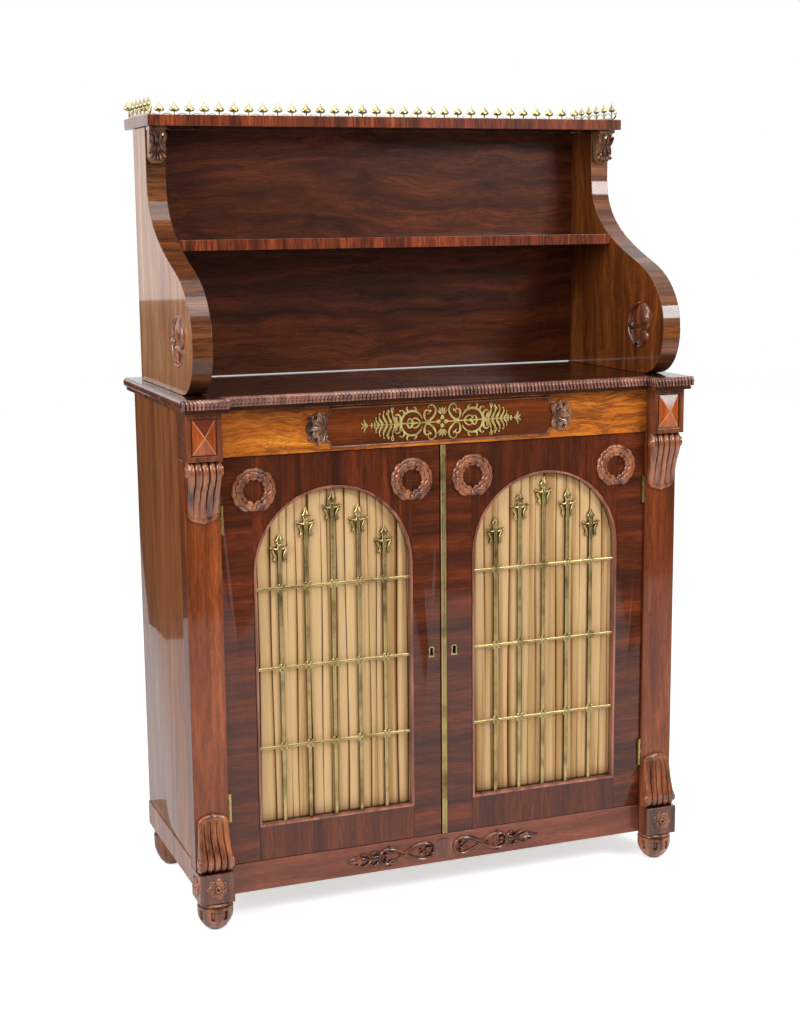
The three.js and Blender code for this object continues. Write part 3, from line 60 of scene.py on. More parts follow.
MM = 0.001
QUARTER = math.pi / 2
TURN = 2 * math.pi
WELD = 0.001 * MM  # closer points are one point
FLAT = math.radians(0.5)  # faces that bend less are one face
SMOOTH_ANGLE = math.radians(38)  # sharper edges stay crisp
FACET_ANGLE = math.radians(10)  # as above, on a point of four low facets
EASED_EDGE = 0.7 * MM  # of boards, worn by polishing
SINK = 0.6 * MM  # by which carving is let into what carries it
SHAVE = 0.02 * MM  # left on a face when its carving is planed off
AROUND = 7  # steps round a closed half-round section
CARCASE = "carcase"  # the body that carries all but the doors and the bolt

Place = Callable[[float, float], Vector]
Wrap = Callable[[Vector], Vector]
Mesh = bmesh.types.BMesh
Verts = list[bmesh.types.BMVert]


# Finishes


def linear(colour: str) -> tuple[float, float, float, float]:
    """Turns an sRGB colour into the linear values that a shader takes.

    Args:
        colour: Such as "#a0522d".

    Returns:
        Red, green, blue and 1.
    """
    parts = [int(colour[i : i + 2], 16) / 255 for i in (1, 3, 5)]
    curve = [c / 12.92 if c <= 0.04045 else ((c + 0.055) / 1.055) ** 2.4 for c in parts]
    return (*curve, 1.0)


class Graph:
    """The node tree of a new material or world."""

    def __init__(self, owner: bpy.types.Material | bpy.types.World) -> None:
        """Starts an empty tree.

        Args:
            owner: The new material or world.
        """
        owner.use_nodes = True
        self.owner = owner
        self.tree = owner.node_tree
        self.tree.nodes.clear()

    def add(
        self,
        kind: str,
        inputs: dict[str | int, object],
        stops: Sequence[tuple[float, str | float]] = (),
        **settings: str | int,
    ) -> bpy.types.Node:
        """Adds one node with its settings and links.

        Args:
            kind: The node's type, without ShaderNode.
            inputs: For each input by name or number, a value, the socket that feeds it, or a
                node, which stands for its first output in use.
            stops: A colour ramp's stops, each a place and a colour or a grey level.
            **settings: The node's own properties.

        Returns:
            The node.
        """
        node = self.tree.nodes.new("ShaderNode" + kind)
        for key, value in settings.items():
            setattr(node, key, value)
        for key, value in inputs.items():
            if isinstance(value, bpy.types.Node):
                value = next(socket for socket in value.outputs if socket.enabled)
            if isinstance(value, bpy.types.NodeSocket):
                self.tree.links.new(value, node.inputs[key])
            else:
                node.inputs[key].default_value = value
        for i, (place, shade) in enumerate(stops):
            elements = node.color_ramp.elements
            element = elements[i] if i < len(elements) else elements.new(1.0)
            element.position = place
            element.color = linear(shade) if isinstance(shade, str) else (shade,) * 3 + (1.0,)
        return node

    def finish(self, **inputs: object) -> bpy.types.Material:
        """Adds the main shader and the output that it feeds.

        Args:
            **inputs: The shader's inputs, with _ for each space.

        Returns:
            The finished material.
        """
        named = {key.replace("_", " "): value for key, value in inputs.items()}
        self.add("OutputMaterial", {"Surface": self.add("BsdfPrincipled", named)})
        return self.owner


BLEND = {"data_type": "RGBA"}  # a Mix node's settings, and its inputs' numbers: 0, 6 and 7
MULTIPLY = {"data_type": "RGBA", "blend_type": "MULTIPLY"}


class Grain(Enum):
    """The way that a board's grain runs, as the scale of its figure along each axis."""

    ACROSS = (0.07, 1.0, 1.0)
    UPRIGHT = (1.0, 1.0, 0.07)


@dataclass(frozen=True)
class Rosewood:
    """Polished rosewood: brown ground, near-black veins in the grain, a clear shellac gloss.

    The shellac is a coat over a duller ground, so that it mirrors the room without greying.
    Scales are in cells to the metre.
    """

    name: str
    light: str
    ground: str
    dark: str
    grain: Grain
    swirl: float = 0.012  # by which the grain wanders, in metres
    veins: float = 0.8  # how dark the veins are
    offset: float = 0.0  # moves the figure, so that two boards differ
    slot: str = "rosewood"
    coat_ior: float = 1.5  # how strongly the polish mirrors the room
    drift_scale: float = 5.0  # the grain wanders over 200 mm
    band_scale: float = 34.0  # the broad light and dark of the figure, 20 to 40 mm wide
    vein_scale: float = 120.0  # veins are a few millimetres wide, and follow the bands
    pore_scale: float = 900.0  # three times as coarse as the real 0.3 mm, which no view shows
    pore_depth: float = 0.12 * MM

    def make(self) -> bpy.types.Material:
        """Makes the finish.

        Returns:
            The material.
        """
        graph = Graph(bpy.data.materials.new(self.name))
        place = graph.add("TexCoord", {}).outputs["Object"]
        shifted = graph.add("Mapping", {"Vector": place, "Location": (self.offset,) * 3})
        drift = graph.add(
            "TexNoise", {"Vector": shifted, "Scale": self.drift_scale, "Detail": 2.0}
        )
        centred = graph.add(
            "VectorMath", {0: drift.outputs["Color"], 1: (0.5,) * 3}, operation="SUBTRACT"
        )
        push = graph.add("VectorMath", {0: centred, 3: 2 * self.swirl}, operation="SCALE")
        swirled = graph.add("VectorMath", {0: shifted, 1: push})
        grain = graph.add("Mapping", {"Vector": swirled, "Scale": self.grain.value})
        bands = graph.add("TexNoise", {
            "Vector": grain, "Scale": self.band_scale, "Detail": 4.0, "Roughness": 0.6,
            "Distortion": 0.5,
        })
        tones = [(0.26, self.dark), (0.5, self.ground), (0.76, self.light)]
        figure = graph.add("ValToRGB", {"Fac": bands}, tones)
        lines = graph.add("TexNoise", {
            "Vector": grain, "Scale": self.vein_scale, "Detail": 3.0, "Roughness": 0.65,
        })
        width = [(0.4, 0.0), (0.455, 1.0), (0.49, 1.0), (0.55, 0.0)]
        thin = graph.add("ValToRGB", {"Fac": lines}, width)
        # The veins come and go with the wandering of the grain.
        fade = graph.add("ValToRGB", {"Fac": drift}, [(0.3, 0.25), (0.7, self.veins)])
        vein = graph.add("Mix", {0: 1.0, 6: thin, 7: fade}, **MULTIPLY)
        veined = graph.add("Mix", {0: vein, 6: figure, 7: linear(self.dark)}, **BLEND)
        pores = graph.add("TexNoise", {"Vector": grain, "Scale": self.pore_scale, "Detail": 2.0})
        speckle = graph.add("ValToRGB", {"Fac": pores}, [(0.32, 0.62), (0.5, 1.0), (1.0, 1.12)])
        return graph.finish(
            Base_Color=graph.add("Mix", {0: 0.8, 6: veined, 7: speckle}, **MULTIPLY),
            Roughness=graph.add("ValToRGB", {"Fac": bands}, [(0.3, 0.42), (0.7, 0.3)]),
            Normal=graph.add(
                "Bump", {"Height": pores, "Distance": self.pore_depth, "Strength": 0.25}
            ),
            Coat_Weight=0.75,
            Coat_Roughness=0.06,
            Coat_IOR=self.coat_ior,
            Specular_IOR_Level=0.15,
        )


@dataclass(frozen=True)
class CarvedRosewood:
    """Carved rosewood: polish bright on the crests, and painted shade darkening the hollows."""

    name: str
    light: str
    ground: str
    dark: str
    hollow: float = 7 * MM  # how far a hollow gathers its painted shade
    slot: str = "carved_rosewood"
    band_scale: float = 60.0  # of the grain, some 15 mm wide
    wear_scale: float = 220.0  # of rubbed spots, some 5 mm wide

    def make(self) -> bpy.types.Material:
        """Makes the finish.

        Returns:
            The material.
        """
        graph = Graph(bpy.data.materials.new(self.name))
        place = graph.add("TexCoord", {}).outputs["Object"]
        along = graph.add("Mapping", {"Vector": place, "Scale": (1.0, 1.0, 0.12)})
        bands = graph.add("TexNoise", {
            "Vector": along, "Scale": self.band_scale, "Detail": 4.0, "Roughness": 0.6,
        })
        tones = [(0.32, self.dark), (0.48, self.ground), (0.68, self.light)]
        figure = graph.add("ValToRGB", {"Fac": bands}, tones)
        depth = graph.add("AmbientOcclusion", {"Distance": self.hollow}, samples=8)
        # Painted shade: the colour darkens in the hollows, where shade falls.
        hollow_painted_shade = graph.add("ValToRGB", {"Fac": depth.outputs["AO"]}, [(0.25, 0.22), (0.8, 1.0)])
        wear = graph.add("TexNoise", {"Vector": place, "Scale": self.wear_scale, "Detail": 3.0})
        return graph.finish(
            Base_Color=graph.add("Mix", {0: 1.0, 6: figure, 7: hollow_painted_shade}, **MULTIPLY),
            Roughness=graph.add("ValToRGB", {"Fac": wear}, [(0.35, 0.26), (0.7, 0.42)]),
            Normal=graph.add("Bump", {"Height": wear, "Distance": 0.2 * MM, "Strength": 0.3}),
            Coat_Weight=1.0,
            Coat_Roughness=0.1,
            Specular_IOR_Level=0.3,
        )


@dataclass(frozen=True)
class Brass:
    """Old lacquered brass: yellow where it is rubbed, brown where it has tarnished."""

    name: str
    bright: str
    tarnish: str
    worn: float = 0.5  # share of the surface that is bright
    roughness: float = 0.3
    slot: str = "brass"
    patch_scale: float = 22.0  # of rubbed and tarnished patches, some 45 mm wide
    cast_scale: float = 160.0  # of the casting's unevenness, some 6 mm wide
    crevice: float = 4 * MM  # how far from a crevice the colour darkens

    def make(self) -> bpy.types.Material:
        """Makes the finish.

        Returns:
            The material.
        """
        graph = Graph(bpy.data.materials.new(self.name))
        place = graph.add("TexCoord", {}).outputs["Object"]
        patches = graph.add("TexNoise", {
            "Vector": place, "Scale": self.patch_scale, "Detail": 3.0, "Roughness": 0.5,
        })
        dull = 1.0 - self.worn
        tones = [(0.5 * dull, self.tarnish), (0.35 + 0.4 * dull, self.bright)]
        colour = graph.add("ValToRGB", {"Fac": patches}, tones)
        depth = graph.add("AmbientOcclusion", {"Distance": self.crevice}, samples=6)
        # The colour darkens in crevices.
        crevice_darkening = graph.add("ValToRGB", {"Fac": depth.outputs["AO"]}, [(0.2, 0.35), (0.75, 1.0)])
        fine = graph.add("TexNoise", {"Vector": place, "Scale": self.cast_scale, "Detail": 2.0})
        gloss = [(0.3, self.roughness * 0.8), (0.7, self.roughness * 1.5)]
        return graph.finish(
            Base_Color=graph.add("Mix", {0: 0.9, 6: colour, 7: crevice_darkening}, **MULTIPLY),
            Roughness=graph.add("ValToRGB", {"Fac": fine}, gloss),
            Normal=graph.add("Bump", {"Height": fine, "Distance": 0.1 * MM, "Strength": 0.1}),
            Metallic=1.0,
        )


@dataclass(frozen=True)
class Silk:
    """Gathered silk, faded to straw: a soft sheen, a fine upright thread, and painted shade deep in
    its folds.
    """

    name: str = "faded straw silk"
    colour: str = "#d6b07c"
    shade: str = "#b88e59"
    back: float = -153.0 * MM  # where the painted shade of its folds is darkest, as a y
    front: float = -156.0 * MM  # and where that painted shade has faded out
    slot: str = "silk"
    thread_scale: float = 1000.0  # 1 mm, five times as coarse as real silk, which no view shows
    fading_scale: float = 60.0  # of faded streaks, some 15 mm wide
    fold_reach: float = 5 * MM  # how far a fold gathers its shadow

    def make(self) -> bpy.types.Material:
        """Makes the finish.

        Returns:
            The material.
        """
        graph = Graph(bpy.data.materials.new(self.name))
        place = graph.add("TexCoord", {}).outputs["Object"]
        upright = graph.add("Mapping", {"Vector": place, "Scale": (1.0, 1.0, 0.02)})
        threads = graph.add(
            "TexNoise", {"Vector": upright, "Scale": self.thread_scale, "Detail": 2.0}
        )
        fading = graph.add(
            "TexNoise", {"Vector": upright, "Scale": self.fading_scale, "Detail": 3.0}
        )
        colour = graph.add("ValToRGB", {"Fac": fading}, [(0.35, self.shade), (0.5, self.colour)])
        thread = graph.add("ValToRGB", {"Fac": threads}, [(0.3, 0.86), (0.7, 1.0)])
        # Painted shade in the folds: darker where a point is enclosed, and darker towards the back
        # of the pleats.
        fold = graph.add("AmbientOcclusion", {"Distance": self.fold_reach}, samples=8)
        steps = [(0.45, 0.05), (0.66, 0.45), (0.88, 1.0)]
        shadow = graph.add("ValToRGB", {"Fac": fold.outputs["AO"]}, steps)
        depth = graph.add("SeparateXYZ", {0: place}).outputs["Y"]
        reach = graph.add(
            "MapRange", {"Value": depth, "From Min": self.back, "From Max": self.front}
        )
        tones = [(0.0, "#3c220e"), (0.5, "#a07a4c"), (0.8, "#e6dcc8"), (1.0, 1.0)]
        painted_fold_shade = graph.add("ValToRGB", {"Fac": reach}, tones)
        woven = graph.add("Mix", {0: 1.0, 6: colour, 7: thread}, **MULTIPLY)
        fold_shaded_cloth = graph.add("Mix", {0: 1.0, 6: woven, 7: painted_fold_shade}, **MULTIPLY)
        return graph.finish(
            Base_Color=graph.add("Mix", {0: 1.0, 6: fold_shaded_cloth, 7: shadow}, **MULTIPLY),
            Roughness=graph.add("ValToRGB", {"Fac": threads}, [(0.3, 0.6), (0.7, 0.7)]),
            Normal=graph.add("Bump", {"Height": threads, "Distance": 0.1 * MM, "Strength": 0.2}),
            Sheen_Weight=0.35,
            Sheen_Roughness=0.4,
            Specular_IOR_Level=0.3,
        )


@dataclass(frozen=True)
class Plain:
    """A hidden surface: unpolished boards, or the lock's iron, mottled by age."""

    name: str
    light: str
    dark: str
    roughness: float
    metallic: float
    slot: str
    stretch: tuple[float, float, float] = (0.04, 1.0, 1.0)
    grain_scale: float = 140.0  # some 7 mm wide

    def make(self) -> bpy.types.Material:
        """Makes the finish.

        Returns:
            The material.
        """
        graph = Graph(bpy.data.materials.new(self.name))
        place = graph.add("TexCoord", {}).outputs["Object"]
        along = graph.add("Mapping", {"Vector": place, "Scale": self.stretch})
        grain = graph.add("TexNoise", {
            "Vector": along, "Scale": self.grain_scale, "Detail": 4.0, "Roughness": 0.6,
        })
        tones = [(0.35, self.dark), (0.65, self.light)]
        gloss = [(0.3, self.roughness), (0.7, min(1.0, self.roughness * 1.3))]
        return graph.finish(
            Base_Color=graph.add("ValToRGB", {"Fac": grain}, tones),
            Roughness=graph.add("ValToRGB", {"Fac": grain}, gloss),
            Normal=graph.add("Bump", {"Height": grain, "Distance": 0.2 * MM, "Strength": 0.3}),
            Metallic=self.metallic,
        )


Finish = Rosewood | CarvedRosewood | Brass | Silk | Plain

DOOR_TONES = ("#83391a", "#5c280f", "#2f1308")
SIDE_PANEL = Rosewood(
    "side rosewood", "#b56d38", "#93552b", "#6a3819", Grain.UPRIGHT, 0.02, 0.3, coat_ior=1.75
)
PILASTER = Rosewood(
    "pilaster rosewood", "#a85628", "#7e3c17", "#4c210d", Grain.UPRIGHT, 0.01, 0.5, 3.1
)
STILE = Rosewood("cross-cut door rosewood", *DOOR_TONES, Grain.ACROSS, 0.006, 0.6, 1.7)
RAIL = Rosewood("upright door rosewood", *DOOR_TONES, Grain.UPRIGHT, 0.006, 0.6, 5.3)
FRIEZE = Rosewood(
    "golden rosewood", "#f09631", "#c06a20", "#54280d", Grain.ACROSS, 0.034, 0.85, 2.2,
    slot="golden_rosewood",
)
TABLET = Rosewood(
    "tablet rosewood", "#884014", "#6a300d", "#401b08", Grain.ACROSS, 0.004, 0.4, 9.0
)
APRON = Rosewood("apron rosewood", "#9a553c", "#7d412b", "#5a2c1c", Grain.ACROSS, 0.01, 0.3, 6.4)
BACK_PANEL = Rosewood(
    "cloudy rosewood", "#864326", "#5c2c17", "#2c130b", Grain.ACROSS, 0.03, 0.5, 7.5
)
END_FACE = Rosewood(
    "scroll end rosewood", "#a8602c", "#7d4119", "#42200e", Grain.UPRIGHT, 0.04, 0.5, 4.4
)
# A lighter copy of the end rosewood: painted light on the ends' outer faces.
END_PAINTED_LIT = Rosewood(
    "sunlit end rosewood", "#d39a6c", "#ad744a", "#7e4d2c", Grain.UPRIGHT, 0.02, 0.3, 4.4
)
END_EDGE = Rosewood("scroll edge rosewood", "#96562b", "#683a1c", "#2c170b", Grain.ACROSS, 0.005)
COUNTER = Rosewood(
    "counter rosewood", "#4e2714", "#361a0d", "#1c0c07", Grain.ACROSS, 0.02, 0.5, 8.8
)
BOARD_EDGE = Rosewood(
    "cross-banded rosewood", "#ab522c", "#76341a", "#260f08", Grain.UPRIGHT, 0.003
)
CARVED = CarvedRosewood("carved rosewood", "#b66c43", "#80482a", "#3a1c10")
CARVED_DARK = CarvedRosewood("dark carved rosewood", "#8a4d33", "#60321f", "#34190f")
CARVED_LIGHT = CarvedRosewood("worn carved rosewood", "#aa7852", "#6e4630", "#2c1811", 9 * MM)
GADROONED = CarvedRosewood("gadrooned rosewood", "#a8705a", "#7d4c3b", "#5a3226", 5 * MM)
DIAMOND = Rosewood(
    "diamond rosewood", "#c8662c", "#a14b1e", "#702f12", Grain.UPRIGHT, 0.01, 0.3, 1.1
)
# The top facet: cross-cut veneer, painted darker as shade.
DIAMOND_TOP_SHADED = Rosewood(
    "cross-cut diamond rosewood", "#9a4326", "#763018", "#4c1d0e", Grain.ACROSS, 0.01, 0.3, 1.1
)
# A pale copy for the diamond's ridges: a painted highlight.
DIAMOND_RIDGE_HIGHLIGHT = Rosewood(
    "rubbed diamond rosewood", "#d99a72", "#c07c52", "#94552f", Grain.UPRIGHT, 0.01, 0.2, 1.1
)
BEAD = CarvedRosewood("bead rosewood", "#b0725a", "#8a523e", "#5c3122", 2 * MM)
MOULDING = CarvedRosewood("moulding rosewood", "#94502e", "#6c3820", "#40200f", 5 * MM)
GRILLE_BRASS = Brass("grille brass", "#c8b27a", "#79663c", 0.45, 0.32)
GALLERY_BRASS = Brass("gallery brass", "#d6c490", "#948050", 0.6, 0.3)
INLAY_BRASS = Brass("inlaid brass", "#e3cd84", "#bfa35c", 0.8, 0.42)
FITTING_BRASS = Brass("fitting brass", "#c2a868", "#7d6433", 0.5, 0.3)
SILK = Silk()
INNER_BOARD = Plain("unpolished deal", "#94704a", "#6b4a2e", 0.7, 0.0, "secondary_wood")
LOCK_IRON = Plain("lock iron", "#5c5b58", "#38332f", 0.45, 0.9, "iron", (1.0, 1.0, 1.0))


@functools.cache
def material_of(finish: Finish) -> bpy.types.Material:
    """Returns the finish's material, which is made when it is first asked for."""
    return finish.make()


# Shapes


class Side(Enum):
    """Left and right pieces mirror each other: the sign that x takes from the left piece."""

    LEFT = 1
    RIGHT = -1

    @property
    def word(self) -> str:
        """The word in the side's node names."""
        return self.name.lower()


@dataclass(frozen=True)
class Box:
    """The box that a node of the frame fills at rest."""

    low: Vector
    high: Vector

    @classmethod
    def of(cls, node: str) -> "Box":
        """Measures a node of the frame."""
        return cls(*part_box(node))

    @property
    def middle(self) -> Vector:
        """The box's middle."""
        return (self.low + self.high) / 2

    @property
    def size(self) -> Vector:
        """The box's three lengths."""
        return self.high - self.low


def through(points: Sequence[tuple[float, ...]], place: float, column: int = 1) -> float:
    """Reads a smooth curve that passes through a table's rows.

    Args:
        points: Rows that each start with a place along the curve, in rising order.
        place: Where to read it.
        column: Which of the rows' values to read.

    Returns:
        The value there.
    """
    last = len(points) - 1
    i = min(max(sum(row[0] <= place for row in points) - 1, 0), last - 1)
    rows = [points[min(max(k, 0), last)] for k in (i - 1, i, i + 1, i + 2)]
    (x0, y0), (x1, y1), (x2, y2), (x3, y3) = ((row[0], row[column]) for row in rows)
    t = (place - x1) / (x2 - x1)
    first = (y2 - y0) / (x2 - x0) * (x2 - x1)
    second = (y3 - y1) / (x3 - x1) * (x2 - x1)
    return (
        (2 * t**3 - 3 * t**2 + 1) * y1
        + (t**3 - 2 * t**2 + t) * first
        + (3 * t**2 - 2 * t**3) * y2
        + (t**3 - t**2) * second
    )


def smooth(edge: float, far: float, value: float) -> float:
    """Rises smoothly from 0 to 1.

    Args:
        edge: Where it starts.
        far: Where it ends.
        value: Where to read it.

    Returns:
        The value there.
    """
    t = min(1.0, max(0.0, (value - edge) / (far - edge)))
    return t * t * (3 - 2 * t)


def dome(share: float) -> float:
    """The height of a half circle at a share from -1 to 1 of its half width."""
    return math.sqrt(max(0.0, 1 - share * share))


def bell(share: float, width: float) -> float:
    """A rounded ridge: 1 at 0, and next to nothing two widths away."""
    return math.exp(-((share / width) ** 2))


def polar(out: float, angle: float, up: float) -> Vector:
    """The point at a radius, an angle and a height."""
    return Vector((out * math.cos(angle), out * math.sin(angle), up))


def upright_on(x: float, y: float, z: float) -> Matrix:
    """The plane of a front face: local x runs right, y up, and z out towards the viewer."""
    return Matrix.Translation((x, y, z)) @ Matrix.Rotation(QUARTER, 4, "X")


def sideways_on(x: float, y: float, z: float, outwards: int) -> Matrix:
    """The plane of a side face, whose local y runs up and z out.

    Args:
        x, y, z: The plane's origin.
        outwards: The side that it looks to: -1 for the left and 1 for the right.

    Returns:
        The plane.
    """
    turn = Matrix.Rotation(outwards * QUARTER, 4, "Z") @ Matrix.Rotation(QUARTER, 4, "X")
    return Matrix.Translation((x, y, z)) @ turn


def add_box(bm: Mesh, low: Sequence[float], high: Sequence[float]) -> Verts:
    """Adds a box.

    Args:
        bm: The mesh that gets it.
        low: Its lowest corner.
        high: Its highest corner.

    Returns:
        The vertices.
    """
    low, high = Vector(low), Vector(high)
    matrix = Matrix.Translation((low + high) / 2) @ Matrix.Diagonal((*(high - low), 1.0))
    return bmesh.ops.create_cube(bm, size=1.0, matrix=matrix)["verts"]


def open_rims(verts: Verts) -> list[bmesh.types.BMEdge]:
    """The edges about these vertices that have a face on one side only."""
    return list(dict.fromkeys(e for vert in verts for e in vert.link_edges if e.is_boundary))


def add_sheet(bm: Mesh, along: int, across: int, place: Place) -> Verts:
    """Adds an open sheet of faces.

    Args:
        bm: The mesh that gets it.
        along: Faces in the first direction.
        across: Faces in the second direction.
        place: Gives the point at two shares from 0 to 1.

    Returns:
        The vertices.
    """
    made = bmesh.ops.create_grid(bm, x_segments=along, y_segments=across, size=1.0)["verts"]
    for vert in made:
        vert.co = place((vert.co.x + 1) / 2, (vert.co.y + 1) / 2)
    return made


def close(bm: Mesh, made: Verts) -> Verts:
    """Welds new faces where they meet, and fills their open ends.

    Args:
        bm: The mesh that holds them.
        made: Their vertices.

    Returns:
        The vertices that are left.
    """
    bmesh.ops.remove_doubles(bm, verts=made, dist=WELD)
    made = [vert for vert in made if vert.is_valid]
    bmesh.ops.holes_fill(bm, edges=open_rims(made), sides=0)
    return made


def add_grid(bm: Mesh, along: int, across: int, place: Place) -> Verts:
    """Adds a closed shell, as add_sheet does an open sheet. Returns its vertices."""
    return close(bm, add_sheet(bm, along, across, place))


def add_front(bm: Mesh, along: int, across: int, place: Place, back: float) -> None:
    """Adds a carved front, closed to a flat back.

    Args:
        bm: The mesh that gets it.
        along: Faces in the first direction.
        across: Faces in the second direction.
        place: Gives the point at two shares from 0 to 1.
        back: The plane of its back, as a y.
    """
    made = add_sheet(bm, along, across, place)
    skirt = bmesh.ops.extrude_edge_only(bm, edges=open_rims(made))["geom"]
    skirt = [item for item in skirt if isinstance(item, bmesh.types.BMVert)]
    for vert in skirt:
        vert.co.y = back
    bmesh.ops.holes_fill(bm, edges=open_rims(skirt), sides=0)


def add_turned(
    bm: Mesh, profile: Sequence[tuple[float, float]], matrix: Matrix, steps: int = 24
) -> Verts:
    """Adds a turned shape.

    Args:
        bm: The mesh that gets it.
        profile: Its outline, in pairs of a radius and a height.
        matrix: Its place: it turns about the matrix's z axis.
        steps: Faces round it.

    Returns:
        The vertices.
    """
    older = set(bm.verts)
    verts = [bm.verts.new((radius, 0.0, height)) for radius, height in profile]
    edges = [bm.edges.new(pair) for pair in zip(verts, verts[1:])]
    bmesh.ops.spin(
        bm,
        geom=verts + edges,
        axis=(0, 0, 1),
        cent=(0, 0, 0),
        angle=TURN,
        steps=steps,
        use_merge=True,
    )
    made = close(bm, [vert for vert in bm.verts if vert not in older])
    bmesh.ops.transform(bm, matrix=matrix, verts=made)
    return made


def add_knob(bm: Mesh, matrix: Matrix, radius: float, height: float) -> None:
    """Adds a low dome.

    Args:
        bm: The mesh that gets it.
        matrix: The plane that it stands on.
        radius: Its radius.
        height: Its height.
    """
    rise = [(math.cos(i * QUARTER / 4), math.sin(i * QUARTER / 4)) for i in range(5)]
    profile = [(radius, -SINK)] + [(radius * out, height * up) for out, up in rise]
    add_turned(bm, profile, matrix, 12)


@dataclass(frozen=True)
class Leaf:
    """A carved leaf, pointed, with a rib down its middle and lobes along its edges."""

    length: float
    width: float
    rise: float
    lift: float = 0.0  # of its tip above its foot
    sway: float = 0.0  # of its tip to its left
    lobes: int = 0
    widest: float = 0.4  # the share of its length at which it is widest
    steps: tuple[int, int] = (12, 8)

    def add(self, bm: Mesh, at: Matrix | Wrap) -> None:
        """Adds the leaf.

        Args:
            bm: The mesh that gets it.
            at: Takes a point of the leaf, along x, across y and up z, to its place.
        """
        power = math.log(0.5) / math.log(self.widest)

        def place(t: float, v: float) -> Vector:
            """Finds a point of the leaf.

            Args:
                t: The share of its length.
                v: The share of the way across.

            Returns:
                The point.
            """
            s = 2 * v - 1
            body = max(0.0, math.sin(math.pi * t**power)) ** 0.75
            scallop, veins = 1.0, 0.0
            if self.lobes:
                scallop = 0.82 + 0.18 * abs(math.cos(math.pi * self.lobes * t))
                veins = 0.16 * math.cos(TURN * (self.lobes * t + abs(s)))
            crown = dome(s) * body**0.5
            relief = 1 - 0.35 * bell(s, 0.2) + veins * abs(s)
            up = crown * (self.rise * relief + self.lift * t * t)
            across = s * self.width / 2 * body * scallop + self.sway * t * t
            point = Vector((self.length * t, across, up - SINK))
            return at @ point if isinstance(at, Matrix) else at(point)

        add_grid(bm, *self.steps, place)


class Section(Enum):
    """The shape of a stroke, cut across."""

    ROUND = 6
    FLAT = 3

    def point(self, share: float) -> tuple[float, float]:
        """Reads the section's outline.

        Args:
            share: The share of its way round, from the plane back to the plane.

        Returns:
            The place there, across from -1 to 1 and up from 0 to 1.
        """
        if self is Section.ROUND:
            return -math.cos(math.pi * share), math.sin(math.pi * share)
        return (-1.0 if share < 0.5 else 1.0), (0.0 if share in (0.0, 1.0) else 1.0)


def round_section(share: float) -> tuple[float, float]:
    """The point of a round section whose last of AROUND steps runs back under it."""
    last = share > 1 - 0.5 / AROUND
    return Section.ROUND.point(0.0 if last else share * AROUND / (AROUND - 1))


@dataclass(frozen=True)
class Stroke:
    """A stem, scroll or blade of foliage on a plane, which bends evenly and then ever more.

    Angles are in quarter turns from the plane's x, and lengths in millimetres.
    """

    start: tuple[float, float]
    heading: float
    length: float
    width: float
    bend: float = 0.0
    curl: float = 0.0
    knob: float = 0.0  # radius of the eye that ends it
    steps: int = 18
    tail: float = 0.35  # the share of its width that is left at its far end
    late: float = 2.5  # how late it curls

    def spine(self) -> list[tuple[Vector, Vector, float]]:
        """Walks along the stroke.

        Returns:
            Its points from end to end: each a place, a direction and a half width, in metres.
        """
        x, y = self.start
        points = []
        for i in range(self.steps + 1):
            t = i / self.steps
            angle = QUARTER * (self.heading + self.bend * t + self.curl * t**self.late)
            way = Vector((math.cos(angle), math.sin(angle)))
            swell = math.sin(math.pi * min(1.0, 0.12 + 0.95 * t)) ** 0.4 if t < 1 else 0.0
            half = self.width / 2 * swell * (1 - (1 - self.tail) * t)
            points.append((Vector((x, y)) * MM, way, (half if 0 < i < self.steps else 0.0) * MM))
            x += way.x * self.length / self.steps
            y += way.y * self.length / self.steps
        return points

    def add(
        self,
        bm: Mesh,
        matrix: Matrix,
        relief: float,
        section: Section = Section.ROUND,
        flip: tuple[int, int] = (1, 1),
    ) -> None:
        """Adds the stroke.

        Args:
            bm: The mesh that gets it.
            matrix: The plane that it lies on.
            relief: How far it stands up.
            section: Its shape, cut across.
            flip: The signs that turn it into its mirror images.
        """
        spine = self.spine()

        def place(u: float, v: float) -> Vector:
            """Finds a point of the stroke.

            Args:
                u: The share of its length.
                v: The share of the way across.

            Returns:
                The point.
            """
            middle, way, half = spine[round(u * self.steps)]
            across, up = section.point(v)
            point = middle + Vector((-way.y, way.x)) * across * half
            height = relief * up * (half > 0) - SINK * (section is Section.ROUND)
            return matrix @ Vector((point.x * flip[0], point.y * flip[1], height))

        add_grid(bm, self.steps, section.value, place)
        if self.knob:
            eye = spine[-1][0]
            at = matrix @ Matrix.Translation((eye.x * flip[0], eye.y * flip[1], 0.0))
            add_knob(bm, at, self.knob * MM, relief * 1.1)


def face_outwards(bm: Mesh) -> None:
    """Turns the faces of each closed shell to look out of it.

    Args:
        bm: The mesh that holds the shells.
    """
    bmesh.ops.recalc_face_normals(bm, faces=bm.faces)
    bm.normal_update()
    left = dict.fromkeys(bm.faces)
    while left:
        shell = [left.popitem()[0]]
        for face in shell:  # grows while it is read
            for near in (f for edge in face.edges for f in edge.link_faces if f in left):
                if near in left:
                    del left[near]
                    shell.append(near)
        foot = shell[0].calc_center_median()
        areas = [face.normal * face.calc_area() for face in shell]
        volume = sum(a.dot(face.calc_center_median() - foot) for a, face in zip(areas, shell))
        # The areas of a closed shell cancel out, and those of an open sheet don't.
        closed = sum(areas, Vector()).length < 0.05 * sum(area.length for area in areas)
        if closed and volume < 0:  # turned inside out by the recalculation, as a thin curl can be
            bmesh.ops.reverse_faces(bm, faces=shell)


